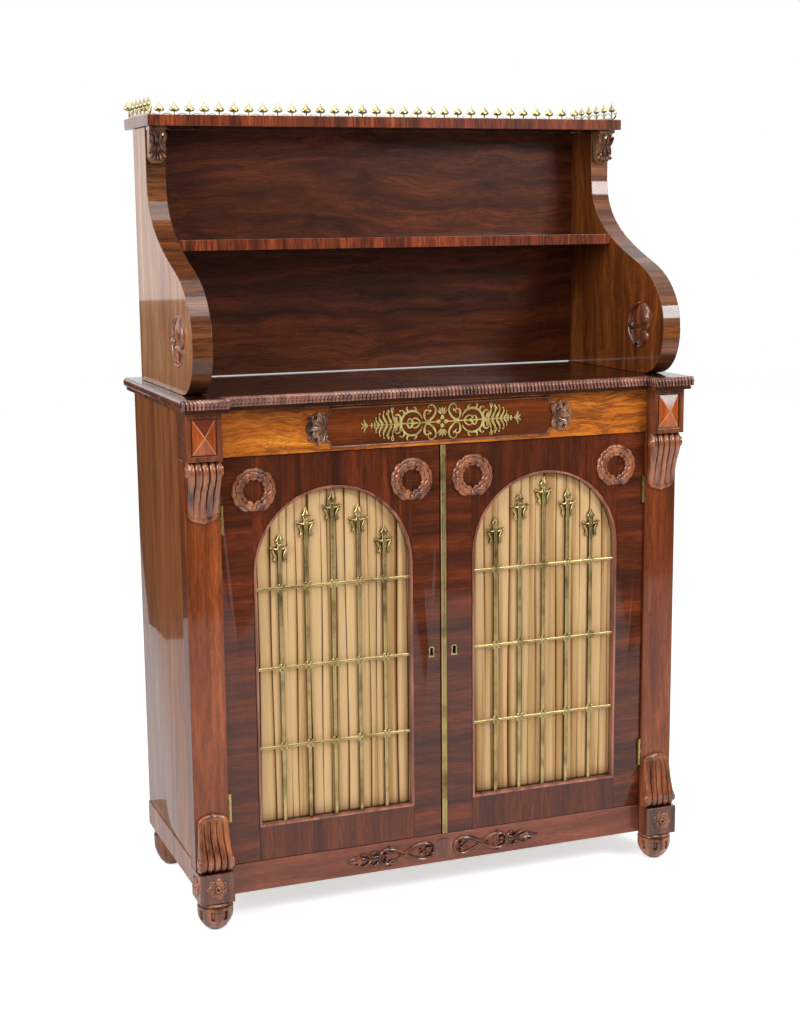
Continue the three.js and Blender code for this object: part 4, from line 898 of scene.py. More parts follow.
def keep(
    bm: Mesh,
    name: str,
    finish: Finish,
    replaces: Iterable[str] = (),
    side: Side = Side.LEFT,
    edge: float = 0.0,
    crisp: float = SMOOTH_ANGLE,
    body: str = CARCASE,
) -> bpy.types.Object:
    """Turns a mesh into a piece of the model.

    Args:
        bm: The mesh, in the frame's place, or in the left piece's place for a right piece.
        name: The piece's name.
        finish: Its finish.
        replaces: The nodes of the frame that it stands for.
        side: RIGHT mirrors it.
        edge: The width of its eased edges.
        crisp: The angle from which an edge stays sharp.
        body: The body that it rides on.

    Returns:
        The piece.
    """
    if side is Side.RIGHT:
        bmesh.ops.scale(bm, vec=(-1, 1, 1), verts=bm.verts)
    face_outwards(bm)
    mesh = bpy.data.meshes.new(name)
    bm.to_mesh(mesh)
    bm.free()
    mesh.shade_smooth()
    mesh.set_sharp_from_angle(angle=crisp)
    mesh.materials.append(material_of(finish))
    piece = bpy.data.objects.new(name, mesh)
    bpy.context.scene.collection.objects.link(piece)
    if edge:
        bevel = piece.modifiers.new("eased edges", "BEVEL")
        bevel.width = edge
        bevel.segments = 2
        bevel.limit_method = "ANGLE"
        bevel.angle_limit = crisp
        bevel.harden_normals = True
    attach(piece, body)
    if replaces:
        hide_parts(*replaces)
    return piece


def copy_of(node: str) -> Mesh:
    """Copies a node's mesh, with its loose triangles joined and its flat faces whole.

    Args:
        node: The node's name.

    Returns:
        The copy.
    """
    bm = bmesh.new()
    bm.from_mesh(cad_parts[node].data)
    bmesh.ops.remove_doubles(bm, verts=bm.verts, dist=WELD)
    bmesh.ops.dissolve_limit(bm, angle_limit=FLAT, verts=bm.verts, edges=bm.edges)
    return bm


def plane_off(bm: Mesh, point: Sequence[float], outwards: Sequence[float]) -> None:
    """Cuts away what stands out beyond a plane, and fills the cut.

    Args:
        bm: The mesh that is cut.
        point: A point of the plane.
        outwards: The direction in which things are cut away.
    """
    everything = [*bm.verts, *bm.edges, *bm.faces]
    bmesh.ops.bisect_plane(
        bm, geom=everything, dist=WELD, plane_co=point, plane_no=outwards, clear_outer=True
    )
    rims = [edge for edge in bm.edges if edge.is_boundary]
    bmesh.ops.triangle_fill(bm, edges=rims, use_beauty=True, normal=outwards)
    bmesh.ops.dissolve_limit(bm, angle_limit=FLAT, verts=bm.verts, edges=bm.edges)


def band(piece: bpy.types.Object, finish: Finish, chosen: Callable[[Vector], bool]) -> None:
    """Gives a second finish to some faces.

    Args:
        piece: The piece.
        finish: The finish.
        chosen: Says whether a face gets it, by its normal.
    """
    piece.data.materials.append(material_of(finish))
    slot = len(piece.data.materials) - 1
    for face in piece.data.polygons:
        if chosen(face.normal):
            face.material_index = slot


def eased(
    node: str, finish: Finish, edge: float = EASED_EDGE, body: str = CARCASE
) -> bpy.types.Object:
    """Replaces a board of the frame by its own shape with eased edges.

    Args:
        node: The node's name.
        finish: The board's finish.
        edge: The width of its eased edges.
        body: The body that it rides on.

    Returns:
        The piece.
    """
    return keep(copy_of(node), node + "_eased", finish, [node], edge=edge, body=body)


def dress(node: str, finish: Finish) -> None:
    """Gives a node of the frame a finish.

    Args:
        node: The node's name.
        finish: The finish.
    """
    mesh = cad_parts[node].data
    mesh.materials.clear()
    mesh.materials.append(material_of(finish))


# Carcase


@dataclass
class Carcase:
    """The lower case: its side panels, and the boards inside that open doors show."""

    inner_boards: tuple[str, ...] = ("carcase_back", "bottom_board", "interior_shelf")

    def build(self) -> None:
        """Builds the case."""
        for side in Side:
            eased(f"{side.word}_side_panel", SIDE_PANEL)
            for level in ("lower", "upper"):
                dress(f"{side.word}_{level}_jamb_leaf", FITTING_BRASS)
        for node in self.inner_boards:
            dress(node, INNER_BOARD)


@dataclass
class Rosette:
    """A carved flower of curved petals about a pierced bud."""

    radius: float = 18.5 * MM
    relief: float = 5.5 * MM
    petals: int = 7
    eye: float = 2.2 * MM
    bud: float = 6.66 * MM
    # The bud's outline, as shares of its radius and of the relief, down to the rim of the eye.
    outline: tuple[tuple[float, float], ...] = ((0.98, 0.5), (0.75, 0.9), (0.5, 1.0))

    def add(self, bm: Mesh, matrix: Matrix) -> None:
        """Adds the flower.

        Args:
            bm: The mesh that gets it.
            matrix: The plane that it stands on.
        """
        petal = Leaf(
            self.radius * 0.85, self.radius, self.relief * 0.8, sway=self.radius * 0.4, widest=0.55
        )
        for i in range(self.petals):
            turn = Matrix.Rotation(i * TURN / self.petals, 4, "Z")
            petal.add(bm, matrix @ turn @ Matrix.Translation((self.radius * 0.15, 0, 0)))
        profile = [(self.bud, -SINK)]
        profile += [(self.bud * out, self.relief * up) for out, up in self.outline]
        pit = self.relief * 0.2
        profile += [(self.eye, self.relief * 0.85), (self.eye * 0.8, pit), (0.0, pit)]
        add_turned(bm, profile, matrix, 18)


@dataclass
class Pilaster:
    """A pilaster: rosette block, plain shaft, and cap block with a sunk diamond point."""

    side: Side
    corner: float = 1.0 * MM
    shaft_setback: float = 27 * MM
    rosette_relief: float = 5.5 * MM
    block_height: float = 54 * MM
    cap_height: float = 81 * MM
    frame_width: float = 8.5 * MM
    recess: float = 3.5 * MM
    moat: float = 2.5 * MM
    rim: float = 1.6 * MM
    rise: float = 9.5 * MM
    ridge: float = 0.9 * MM
    box: Box = field(init=False)

    def __post_init__(self) -> None:
        """Takes the left pilaster's place from the frame, without its carving."""
        whole = Box.of("left_pilaster")
        relief = Vector((Box.of("left_side_panel").low.x - whole.low.x, self.rosette_relief, 0))
        self.box = Box(whole.low + relief, whole.high)

    def build(self) -> None:
        """Builds the pilaster from the shaft, its block and its cap."""
        low, high, word = self.box.low, self.box.high, self.side.word
        foot, top = low.z + self.block_height, high.z - self.cap_height
        bm = bmesh.new()
        add_box(bm, (low.x, low.y + self.shaft_setback, foot), (high.x, high.y, top))
        node = f"{word}_pilaster"
        keep(bm, node + "_shaft", PILASTER, [node], self.side, self.corner)
        bm = bmesh.new()
        add_box(bm, low, (high.x, high.y, foot))
        keep(bm, f"{word}_rosette_block", CARVED_DARK, (), self.side, 1.6 * self.corner)
        bm = bmesh.new()
        middle = (low + Vector((high.x, high.y, foot))) / 2
        Rosette().add(bm, upright_on(middle.x, low.y, middle.z))
        Rosette().add(bm, sideways_on(low.x, middle.y, middle.z, -1))
        keep(bm, f"{word}_rosettes", CARVED, (), self.side)
        self.build_cap(top)

    def build_cap(self, bottom: float) -> None:
        """Builds the cap block: a frame, a moulded step, and the point that stands in it.

        Args:
            bottom: The level of its lower face.
        """
        low, high, word = self.box.low, self.box.high, self.side.word
        bm = bmesh.new()
        add_box(bm, (low.x, low.y, bottom), high)
        front = min(bm.faces, key=lambda face: face.calc_center_median().y)
        for width, depth in ((self.frame_width, 0.0), (self.moat * 0.4, self.recess)):
            bmesh.ops.inset_region(bm, faces=[front], thickness=width, use_even_offset=True)
            bmesh.ops.translate(bm, vec=(0, depth, 0), verts=front.verts)
        keep(bm, f"{word}_cap_block", MOULDING, (), self.side, 0.8 * self.corner)
        inset = self.frame_width + self.moat
        wide, tall = (high.x - low.x) / 2 - inset, (high.z - bottom) / 2 - inset
        centre = upright_on((low.x + high.x) / 2, low.y + self.recess, (bottom + high.z) / 2)
        corners = [(-wide, -tall, 0), (wide, -tall, 0), (wide, tall, 0), (-wide, tall, 0)]
        bm = bmesh.new()
        face = bm.faces.new([bm.verts.new(centre @ Vector(corner)) for corner in corners])
        bmesh.ops.inset_region(bm, faces=[face], thickness=self.moat * 0.6)
        bmesh.ops.translate(bm, vec=(0, -self.rim, 0), verts=face.verts)
        point = bmesh.ops.poke(bm, faces=[face], offset=0.0)["verts"]
        bmesh.ops.translate(bm, vec=(0, self.rim - self.rise, 0), verts=point)
        name = f"{word}_diamond_point"
        piece = keep(bm, name, DIAMOND, (), self.side, self.ridge, FACET_ANGLE)
        # Each facet's veneer runs its own way, and the top facet is also painted darker as shade;
        # the ridges between facets carry a painted highlight.
        band(piece, DIAMOND_TOP_SHADED, lambda normal: normal.z > 0.1)
        piece.data.materials.append(material_of(DIAMOND_RIDGE_HIGHLIGHT))
        piece.modifiers["eased edges"].material = 2


class Way(Enum):
    """The end from which a corbel swells: the upper ones hang, the lower ones stand."""

    HANGING = -1
    STANDING = 1


@dataclass
class Corbel:
    """A reeded scroll: round reeds that swell out, draw in and end under an arched rim."""

    side: Side
    way: Way
    reeds: int = 5
    reed_depth: float = 5.0 * MM
    half_width: float = 30 * MM
    sway: float = 1.6 * MM  # of its middle reeds, from side to side
    rim: float = 1.6 * MM
    cheek_radius: float = 10 * MM
    # The round on each side: shares of its radius, and how far it stands out in millimetres.
    cheek: tuple[tuple[float, float], ...] = (
        (1.0, -8.0), (1.0, 1.2), (0.86, 2.0), (0.62, 1.0), (0.5, 2.2), (0.2, 2.5), (0.0, 2.5),
    )

    @property
    def level(self) -> str:
        """The word in the node's name."""
        return "upper" if self.way is Way.HANGING else "lower"

    @property
    def crown(self) -> float:
        """The rise of the arch that ends the scroll."""
        return (17 if self.way is Way.HANGING else 14) * MM

    @property
    def profile(self) -> tuple[tuple[float, float], ...]:
        """The outline of its front.

        Returns:
            Shares of its height from its thick end, and how far it stands out at each.
        """
        if self.way is Way.HANGING:
            return ((0, 0.7), (0.1, 0.92), (0.2, 1), (0.34, 0.93), (0.46, 0.76), (0.6, 0.54),
                    (0.8, 0.33), (1, 0.14))
        return ((0, 0.66), (0.1, 0.92), (0.24, 1), (0.4, 0.86), (0.58, 0.62), (0.76, 0.46),
                (0.9, 0.34), (1, 0.16))

    def build(self) -> None:
        """Builds the corbel."""
        node = f"{self.side.word}_{self.level}_corbel"
        box = Box.of(f"left_{self.level}_corbel")
        start = box.low.z if self.way is Way.STANDING else box.high.z
        height = box.size.z - self.crown

        def place(t: float, v: float) -> Vector:
            """Finds a point of the scroll's front.

            Args:
                t: The share of its height from its thick end.
                v: The share of the way across.

            Returns:
                The point.
            """
            s = 2 * v - 1
            arch = 0.9 * dome(s) + 0.1 * bell(s, 0.12)
            level = start + self.way.value * (height * t + self.crown * arch * t**3)
            across = self.half_width * s * (1.0 - 0.1 * t)
            across += self.sway * math.sin(TURN * t) * (1 - s * s)
            hollow = 1 - dome(2 * ((v * self.reeds) % 1.0) - 1)
            fade = 1 - smooth(0.88, 0.95, t)
            gape = 1 + 0.9 * math.exp(-t / 0.05)
            rim = self.rim * (smooth(0.93, 0.965, t) - smooth(0.985, 1.0, t))
            reach = through(self.profile, t)
            out = box.size.y * reach * (1 - 0.1 * s**6)
            out -= self.reed_depth * gape * hollow * fade * min(1.0, 1.5 * reach)
            return Vector((box.middle.x + across, box.high.y - out - rim, level))

        bm = bmesh.new()
        add_front(bm, 60, 60, place, box.high.y)
        for outwards in (-1, 1):
            self.add_cheek(bm, box, outwards, start)
        keep(bm, node + "_carved", CARVED, [node], self.side)

    def add_cheek(self, bm: Mesh, box: Box, outwards: int, start: float) -> None:
        """Adds the round of the scroll that shows on one side.

        Args:
            bm: The corbel's mesh.
            box: The corbel's box.
            outwards: The side: -1 for the left and 1 for the right.
            start: The level of the corbel's thick end.
        """
        radius = self.cheek_radius
        x = box.middle.x + outwards * (self.half_width - 0.5 * MM)
        y = box.low.y + radius + 2.5 * MM
        z = start + self.way.value * radius * 1.7
        profile = [(radius * out, up * MM) for out, up in self.cheek]
        add_turned(bm, profile, sideways_on(x, y, z, outwards), 20)


@dataclass
class Foot:
    """A turned foot: in front with upright notches round its drum, behind plain."""

    side: Side
    place: str
    notches: int = 8
    notch_depth: float = 4.5 * MM
    notch_half: float = 3.2 * MM
    drum: tuple[float, float] = (0.44, 0.74)  # from and to, as shares of the height
    steps: int = 96
    # The turned outline up from the floor, as shares of the radius and the height.
    outline: tuple[tuple[float, float], ...] = (
        (0.0, 0.0), (0.3, 0.0), (0.4, 0.02), (0.62, 0.12), (0.82, 0.28), (0.93, 0.42),
        (0.95, 0.45), (0.97, 0.5), (0.985, 0.6), (0.985, 0.7), (0.97, 0.73), (0.99, 0.76),
        (1.0, 0.8), (0.97, 0.85), (0.88, 0.875), (0.86, 0.9), (0.95, 0.925), (0.97, 0.96),
        (0.9, 1.0), (0.0, 1.0),
    )

    def build(self) -> None:
        """Builds the foot."""
        node = f"{self.side.word}_{self.place}_foot"
        box = Box.of(f"left_{self.place}_foot")
        radius, height = box.size.x / 2, box.size.z
        profile = [(radius * out, height * up) for out, up in self.outline]
        bm = bmesh.new()
        made = add_turned(bm, profile, Matrix.Identity(4), self.steps)
        if self.place == "front":
            for vert in made:
                self.notch(vert, radius, height)
        bmesh.ops.translate(bm, vec=(box.middle.x, box.middle.y, box.low.z), verts=bm.verts)
        keep(bm, node + "_turned", CARVED, [node], self.side)

    def notch(self, vert: bmesh.types.BMVert, radius: float, height: float) -> None:
        """Moves a point of the drum in, where it lies in a notch.

        Args:
            vert: The point.
            radius: The foot's radius.
            height: The foot's height.
        """
        out = vert.co.xy.length
        foot, top = (share * height for share in self.drum)
        if not (foot < vert.co.z < top and out > 0.5 * radius):
            return
        pitch = TURN / self.notches
        angle = math.atan2(vert.co.y, vert.co.x) % pitch - pitch / 2
        if abs(angle) * radius < self.notch_half:
            scale = 1 - self.notch_depth / out
            vert.co.x *= scale
            vert.co.y *= scale


# Frieze and apron


@dataclass
class Frieze:
    """The rail under the counter: golden ends, a sunk tablet, its bead, clasps and inlay."""

    node: str = "frieze_rail"
    tablet: tuple[float, float] = (432 * MM, 64 * MM)
    notch: float = 12 * MM
    notch_steps: int = 8
    recess: float = 2 * MM
    bead: float = 4 * MM
    bead_relief: float = 2.2 * MM
    clasp: tuple[float, float] = (48 * MM, 40 * MM)
    # A clasp's leaves: their lean in quarter turns, length and width as shares of the clasp's,
    # and sway in millimetres.
    leaves: tuple[tuple[float, ...], ...] = (
        (0.0, 0.8, 0.34, 0), (0.3, 0.84, 0.32, 2), (-0.3, 0.84, 0.32, -2), (0.6, 0.72, 0.34, 3),
        (-0.6, 0.72, 0.34, -3), (0.95, 0.5, 0.3, -2), (-0.95, 0.5, 0.3, 2),
    )
    scrolls: tuple[Stroke, ...] = (
        Stroke((2, 4), 0.95, 44, 7, -0.3, -3.0, 4.0), Stroke((22, 3), 0.75, 40, 6, 0.3, 3.0, 3.6),
    )
    box: Box = field(init=False)
    face: float = field(init=False)  # of the golden veneer, as a y
    level: float = field(init=False)  # of the tablet's middle

    def __post_init__(self) -> None:
        """Takes the rail's place from the frame."""
        inlay = Box.of("brass_inlay")
        self.box = Box.of(self.node)
        self.face = inlay.high.y - 1.7 * MM
        self.level = inlay.middle.z

    def build(self) -> None:
        """Builds the frieze."""
        self.build_rail()
        self.build_bead()
        self.build_clasps()
        Inlay().build()

    def build_rail(self) -> None:
        """Builds the rail, which shows the tablet's veneer, and the thicker veneer around it."""
        low, high = self.box.low, self.box.high
        ground = self.face + self.recess
        bm = bmesh.new()
        add_box(bm, (low.x, ground, low.z), high)
        keep(bm, "frieze_core", TABLET, [self.node])
        line = self.outline()
        # Round the tablet: its edge at the ground and at the face, then the rail's own edge.
        stations = ((0, ground), (0, self.face), (1, self.face), (1, ground))

        def place(u: float, v: float) -> Vector:
            """Finds a point of the veneer.

            Args:
                u: The share of the way round the tablet.
                v: The share of the four stations.

            Returns:
                The point.
            """
            point, _ = line[round(u * len(line)) % len(line)]
            spread, y = stations[round(4 * v) % 4]
            corner = Vector((math.copysign(high.x, point.x), 0, high.z if point.y > 0 else low.z))
            inner = Vector((point.x, 0, self.level + point.y))
            return inner.lerp(corner, spread) + Vector((0, y, 0))

        bm = bmesh.new()
        add_grid(bm, len(line), 4, place)
        keep(bm, "frieze_veneer", FRIEZE)

    def outline(self) -> list[tuple[Vector, Vector]]:
        """The tablet's outline, hollow at its corners.

        Returns:
            Points in order, and the way out at each.
        """
        points, size = [], Vector(self.tablet)
        for corner, signs in enumerate(((1, 1), (-1, 1), (-1, -1), (1, -1))):
            centre = Vector(signs) * size / 2
            for i in range(self.notch_steps + 1):
                angle = QUARTER * (corner + 3 - i / self.notch_steps)
                spoke = Vector((math.cos(angle), math.sin(angle)))
                outwards = Vector(signs) if i in (0, self.notch_steps) else -spoke
                points.append((centre + spoke * self.notch, outwards))
        return points

    def build_bead(self) -> None:
        """Builds the round bead about the tablet."""
        line = self.outline()
        matrix = upright_on(0, self.face, self.level)

        def place(u: float, v: float) -> Vector:
            """Finds a point of the bead.

            Args:
                u: The share of the way round the tablet.
                v: The share of the way round the bead.

            Returns:
                The point.
            """
            point, outwards = line[round(u * len(line)) % len(line)]
            across, up = round_section(v)
            grown = point + outwards * (across + 1) / 2 * self.bead
            return matrix @ Vector((grown.x, grown.y, up * self.bead_relief - SINK))

        bm = bmesh.new()
        add_grid(bm, len(line), AROUND, place)
        keep(bm, "tablet_bead", MOULDING)

    def build_clasps(self) -> None:
        """Builds the leaf clasps that hold the tablet's two ends."""
        length, height = self.clasp
        for word, sign in (("left", -1), ("right", 1)):
            end = upright_on(sign * (self.tablet[0] / 2 - 2 * MM), self.face, self.level)
            plane = end @ Matrix.Diagonal((sign, 1, 1, 1))
            ground = Matrix.Translation((0.42 * length, 0, 0)) @ Matrix.Diagonal((1, 0.95, 1, 1))
            bm = bmesh.new()
            add_knob(bm, plane @ ground, 0.38 * length, 1.0 * MM)
            for lean, reach, wide, sway in self.leaves:
                leaf = Leaf(length * reach, height * wide, 5.2 * MM, 2.4 * MM, sway * MM, 2, 0.72)
                leaf.add(bm, plane @ Matrix.Rotation(lean * QUARTER, 4, "Z"))
            for flip in (1, -1):
                for stroke in self.scrolls:
                    stroke.add(bm, plane, 5.5 * MM, flip=(1, flip))
            keep(bm, f"clasp_{word}", CARVED_LIGHT)


@dataclass
class Inlay:
    """The tablet's brass foliage: one quarter of it is drawn, and mirrored about both axes."""

    node: str = "brass_inlay"
    proud: float = 0.35 * MM
    stem: Stroke = Stroke((0, 0), 0.0, 151, 2.6, tail=0.9)
    strokes: tuple[Stroke, ...] = (
        # The middle: a cross of buds, a palmette above it, and the scroll that cups it.
        Stroke((3.5, 0), 0.0, 9, 8.3, tail=0.6),
        Stroke((0, 3.5), 1.0, 9, 8.3, tail=0.6),
        Stroke((0, 14), 1.0, 13, 4.4, tail=0.8),
        Stroke((1, 14), 0.68, 13, 3.8, 0.15, tail=0.8),
        Stroke((2, 13.5), 0.4, 11, 3.3, 0.25, tail=0.8),
        Stroke((27, 1), 1.62, 56, 4.6, -0.5, -3.3, 2.0, 26),
        # The knot between the scroll and the wheel, with its small ring.
        Stroke((22, 0), 0.0, 11, 9.6, tail=0.8),
        Stroke((30, 2), 0.65, 38, 3.1, 0.3, 4.2, 0, 24, 0.8),
        Stroke((33, 10), 0.9, 13, 3.8, 0.4, 0.5),
        # The wheel, its leaves outside, and the curls in it.
        Stroke((77, 0), 1.0, 62.8, 4.1, 2.0, 0, 0, 26, 0.9),
        Stroke((50, 19), 1.2, 13, 4.4, -0.6, -1.4),
        Stroke((63, 19.5), 0.5, 13, 4.4, 0.4, 1.2),
        Stroke((70, 14), 0.75, 15, 4.6, 0.3, -1.8, 1.3),
        Stroke((41, 0), 0.62, 26, 3.6, -0.2, -2.6, 1.5, 20),
        Stroke((56, 0), 0.85, 17, 4.1, -0.3, -2.2, 1.4),
        Stroke((66, 0), 1.1, 10, 4.4, 0.4, 0.5),
        # The heavy scroll at the wheel's end.
        Stroke((79, 0), 1.15, 30, 5.4, -0.4, -2.8, 2.0, 22),
        Stroke((82, 0), 0.55, 15, 5.1, 0.4, 0.8),
        # The spray: blades that lean out from the stem, and small curls along its top.
        Stroke((88, 1), 0.85, 22, 5.4, -0.5, 0.9, 1.6),
        Stroke((95, 1), 0.75, 25, 5.6, -0.3, 0.9, 1.6),
        Stroke((103, 1), 0.65, 24, 5.4, -0.1, 0.9, 1.5),
        Stroke((111, 1), 0.55, 20, 4.9, 0.1, 0.8, 1.3),
        Stroke((118, 1), 0.45, 14, 4.1, 0.2, 0.7, 1.1),
        Stroke((92, 19), 0.5, 17, 3.3, 0.5, 3.0, 1.3, 18),
        Stroke((98, 22), 0.0, 13, 3.1, -0.5, -2.6, 1.2, 18),
        # The tip: two collars and a lily.
        Stroke((126, 0), 1.0, 6.5, 3.8, tail=0.9),
        Stroke((132, 0), 1.0, 5.0, 3.3, tail=0.9),
        Stroke((139, 0), 0.35, 16, 4.4, 0.5, 0.7),
        Stroke((142, 0), 0.15, 12, 3.8, 0.3, 0.4),
    )

    def build(self) -> None:
        """Builds the inlay."""
        box = Box.of(self.node)
        matrix = upright_on(0, box.low.y, box.middle.z)
        bm = bmesh.new()
        for x in (-1, 1):
            for y in (-1, 1):
                for i, stroke in enumerate(self.strokes):
                    # No two strokes end at quite the same level, so that none flickers.
                    proud = self.proud * (1 + (4 * i + 2 * x + y) / len(self.strokes) / 16)
                    stroke.add(bm, matrix, proud, Section.FLAT, (x, y))
            self.stem.add(bm, matrix, self.proud * 0.8, Section.FLAT, (x, 1))
        keep(bm, "inlaid_foliage", INLAY_BRASS, [self.node])


@dataclass
class Apron:
    """The rail between the front feet, with a pair of carved heart scrolls."""

    node: str = "front_apron"
    relief: float = 6.5 * MM
    patera: float = 19 * MM
    strokes: tuple[Stroke, ...] = (
        Stroke((80, -1), 1.66, 90, 9.5, 0.25, 3.0, 3.6, 32, 0.65, 3.5),
        Stroke((48, 6), 2.5, 20, 5.5, -0.4, -1.4, 2.2),
        Stroke((72, -1), 0.34, 82, 9.0, -0.25, -3.0, 3.2, 30, 0.6, 3.5),
        Stroke((98, 7), 0.1, 18, 5.5, 0.3, 1.4, 2.0),
        Stroke((126, 2), 0.75, 26, 7.0, -0.5, -1.8, 2.4, 18),
        Stroke((142, 2), 0.5, 24, 6.5, -0.3, -0.6),
        Stroke((158, 2), 0.35, 18, 5.0, -0.2, -0.5),
    )
    # Leaves along the scrolls' axis: where each starts, its length and its width.
    leaves: tuple[tuple[float, ...], ...] = ((66, 24, 11), (120, 34, 14), (146, 46, 16))

    def build(self) -> None:
        """Builds the apron."""
        box = Box.of(self.node)
        face = Box.of("left_door_hinge_stile").low.y
        bm = copy_of(self.node)
        plane_off(bm, (0, face + SHAVE, 0), (0, -1, 0))
        keep(bm, "front_apron_eased", APRON, [self.node], edge=EASED_EDGE)
        matrix = upright_on(0, face, box.middle.z)
        bm = bmesh.new()
        for x in (-1, 1):
            for stroke in self.strokes:
                for y in (-1, 1):
                    stroke.add(bm, matrix, self.relief, flip=(x, y))
            for start, reach, width in self.leaves:
                leaf = Leaf(reach * MM, width * MM, self.relief, lobes=3)
                half = Matrix.Diagonal((x, 1, 1, 1)) @ Matrix.Translation((start * MM, 0, 0))
                leaf.add(bm, matrix @ half)
        profile = [(self.patera, -SINK), (self.patera, 0.6 * MM), (self.patera * 0.9, 1.2 * MM),
                   (0.0, 1.4 * MM)]
        add_turned(bm, profile, matrix, 32)
        keep(bm, "apron_carving", CARVED_DARK)


# Counter


@dataclass
class Counter:
    """The counter board and the carved gadroons along its front edge."""

    node: str = "gadrooned_edge"
    pitch: float = 6.85 * MM
    depth: float = 14 * MM
    overlap: float = 12 * MM  # of the parts that stand forward beyond their pilasters
    slant: float = 0.35  # of a lobe, in pitches between its top and its foot
    groove: float = 5.2 * MM
    per_lobe: int = 8
    # The strip's outline from its upper back edge, as shares of its depth and height.
    section: tuple[tuple[float, float], ...] = (
        (0.0, 1.0), (0.3, 1.0), (0.52, 0.99), (0.74, 0.93), (0.9, 0.8), (1.0, 0.62),
        (0.97, 0.46), (0.86, 0.34), (0.8, 0.3), (0.86, 0.2), (0.8, 0.04), (0.7, 0.0), (0.0, 0.0),
    )

    def build(self) -> None:
        """Builds the counter board, then the gadroons as one strip that swells at each lobe."""
        band(eased("counter_top", COUNTER, 0.5 * MM), MOULDING, lambda normal: abs(normal.x) > 0.9)
        strip = Box.of(self.node)
        step = abs(Box.of("left_pilaster").high.x) - self.overlap
        front, back = strip.low.y, strip.high.y - self.depth
        # The outer line from left to right steps back between the pilasters. The inner one
        # follows it at the strip's depth, and leans to either side where it steps.
        line = (
            (strip.low.x, front, 0), (-step, front, -1), (-step, back, -1),
            (step, back, 1), (step, front, 1), (strip.high.x, front, 0),
        )
        outer = [Vector((x, y)) for x, y, _ in line]
        inner = [Vector((x + lean * self.depth, y + self.depth)) for x, y, lean in line]
        bm = bmesh.new()
        for i in range(len(line) - 1):
            self.add_run(bm, strip, outer[i : i + 2], inner[i : i + 2])
        bmesh.ops.remove_doubles(bm, verts=bm.verts, dist=WELD)
        keep(bm, "gadroons", GADROONED, [self.node])

    def add_run(self, bm: Mesh, strip: Box, outer: list[Vector], inner: list[Vector]) -> None:
        """Adds one straight run of lobes.

        Args:
            bm: The strip's mesh.
            strip: The strip's box.
            outer: The two ends of its outer line, in plan.
            inner: The two ends of its inner line.
        """
        lobes = max(1, round((outer[1] - outer[0]).length / self.pitch))
        count = len(self.section) - 1

        def place(u: float, v: float) -> Vector:
            """Finds a point of the lobes.

            Args:
                u: The share of the run.
                v: The share of the way round the section.

            Returns:
                The point.
            """
            out, up = self.section[round(v * count)]
            phase = (u * lobes + self.slant * (up - 0.5) * (0 < u < 1)) % 1.0
            lobe = abs(math.sin(math.pi * phase)) ** 0.6
            draw = (1 - lobe) * self.groove * (out > 0.5) * (1 - 0.75 * (up > 0.95))
            far, near = outer[0].lerp(outer[1], u), inner[0].lerp(inner[1], u)
            point = near.lerp(far, out) - (far - near).normalized() * draw
            return Vector((point.x, point.y, strip.low.z + up * strip.size.z))

        add_grid(bm, lobes * self.per_lobe, count, place)


# Doors


@dataclass
class Wreath:
    """A laurel wreath whose leaves overlap from its foot, up both sides, to its top."""

    radius: float = 28.7 * MM
    band: float = 8.4 * MM
    relief: float = 8 * MM
    stations: int = 7
    leaf: Leaf = Leaf(18 * MM, 10.5 * MM, 3.6 * MM, 2.6 * MM, steps=(8, 6))

    def add(self, bm: Mesh, matrix: Matrix) -> None:
        """Adds the wreath.

        Args:
            bm: The mesh that gets it.
            matrix: The plane that it lies on.
        """

        def ring(u: float, v: float) -> Vector:
            """Finds a point of the wreath's core.

            Args:
                u: The share of the way round the wreath.
                v: The share of the way round the core.

            Returns:
                The point.
            """
            across, up = round_section(v)
            out = self.radius + across * self.band * 0.8
            return matrix @ polar(out, TURN * u, up * self.relief * 0.45 - SINK)

        add_grid(bm, 48, AROUND, ring)
        for half in (-1, 1):
            for station in range(self.stations):
                for row in (-1, 1, 0):
                    stagger = 0.3 + 0.25 * row + 0.12 * math.sin(5 * station + 3 * row)
                    start = -QUARTER + half * math.pi * (station + stagger) / self.stations
                    self.add_leaf(bm, matrix, start, half, row)
        for end in (-QUARTER, QUARTER):
            at = matrix @ Matrix.Translation(polar(self.radius, end, 0))
            add_knob(bm, at, self.band * 0.55, self.relief * 0.9)

    def add_leaf(self, bm: Mesh, matrix: Matrix, start: float, half: int, row: int) -> None:
        """Adds one leaf, bent round the ring.

        Args:
            bm: The wreath's mesh.
            matrix: The plane that the wreath lies on.
            start: The angle of the leaf's foot.
            half: The way that it points: -1 up the left half and 1 up the right one.
            row: Its row: -1 inside, 1 outside, and 0 on top of both.
        """
        level = self.relief * (0.28 if row else 0.54)

        def wrap(p: Vector) -> Vector:
            """The place of a point of the leaf."""
            out = self.radius + row * self.band * 0.52 + p.y + row * 0.16 * p.x
            return matrix @ polar(out, start + half * p.x / self.radius, level + p.z)

        self.leaf.add(bm, wrap)


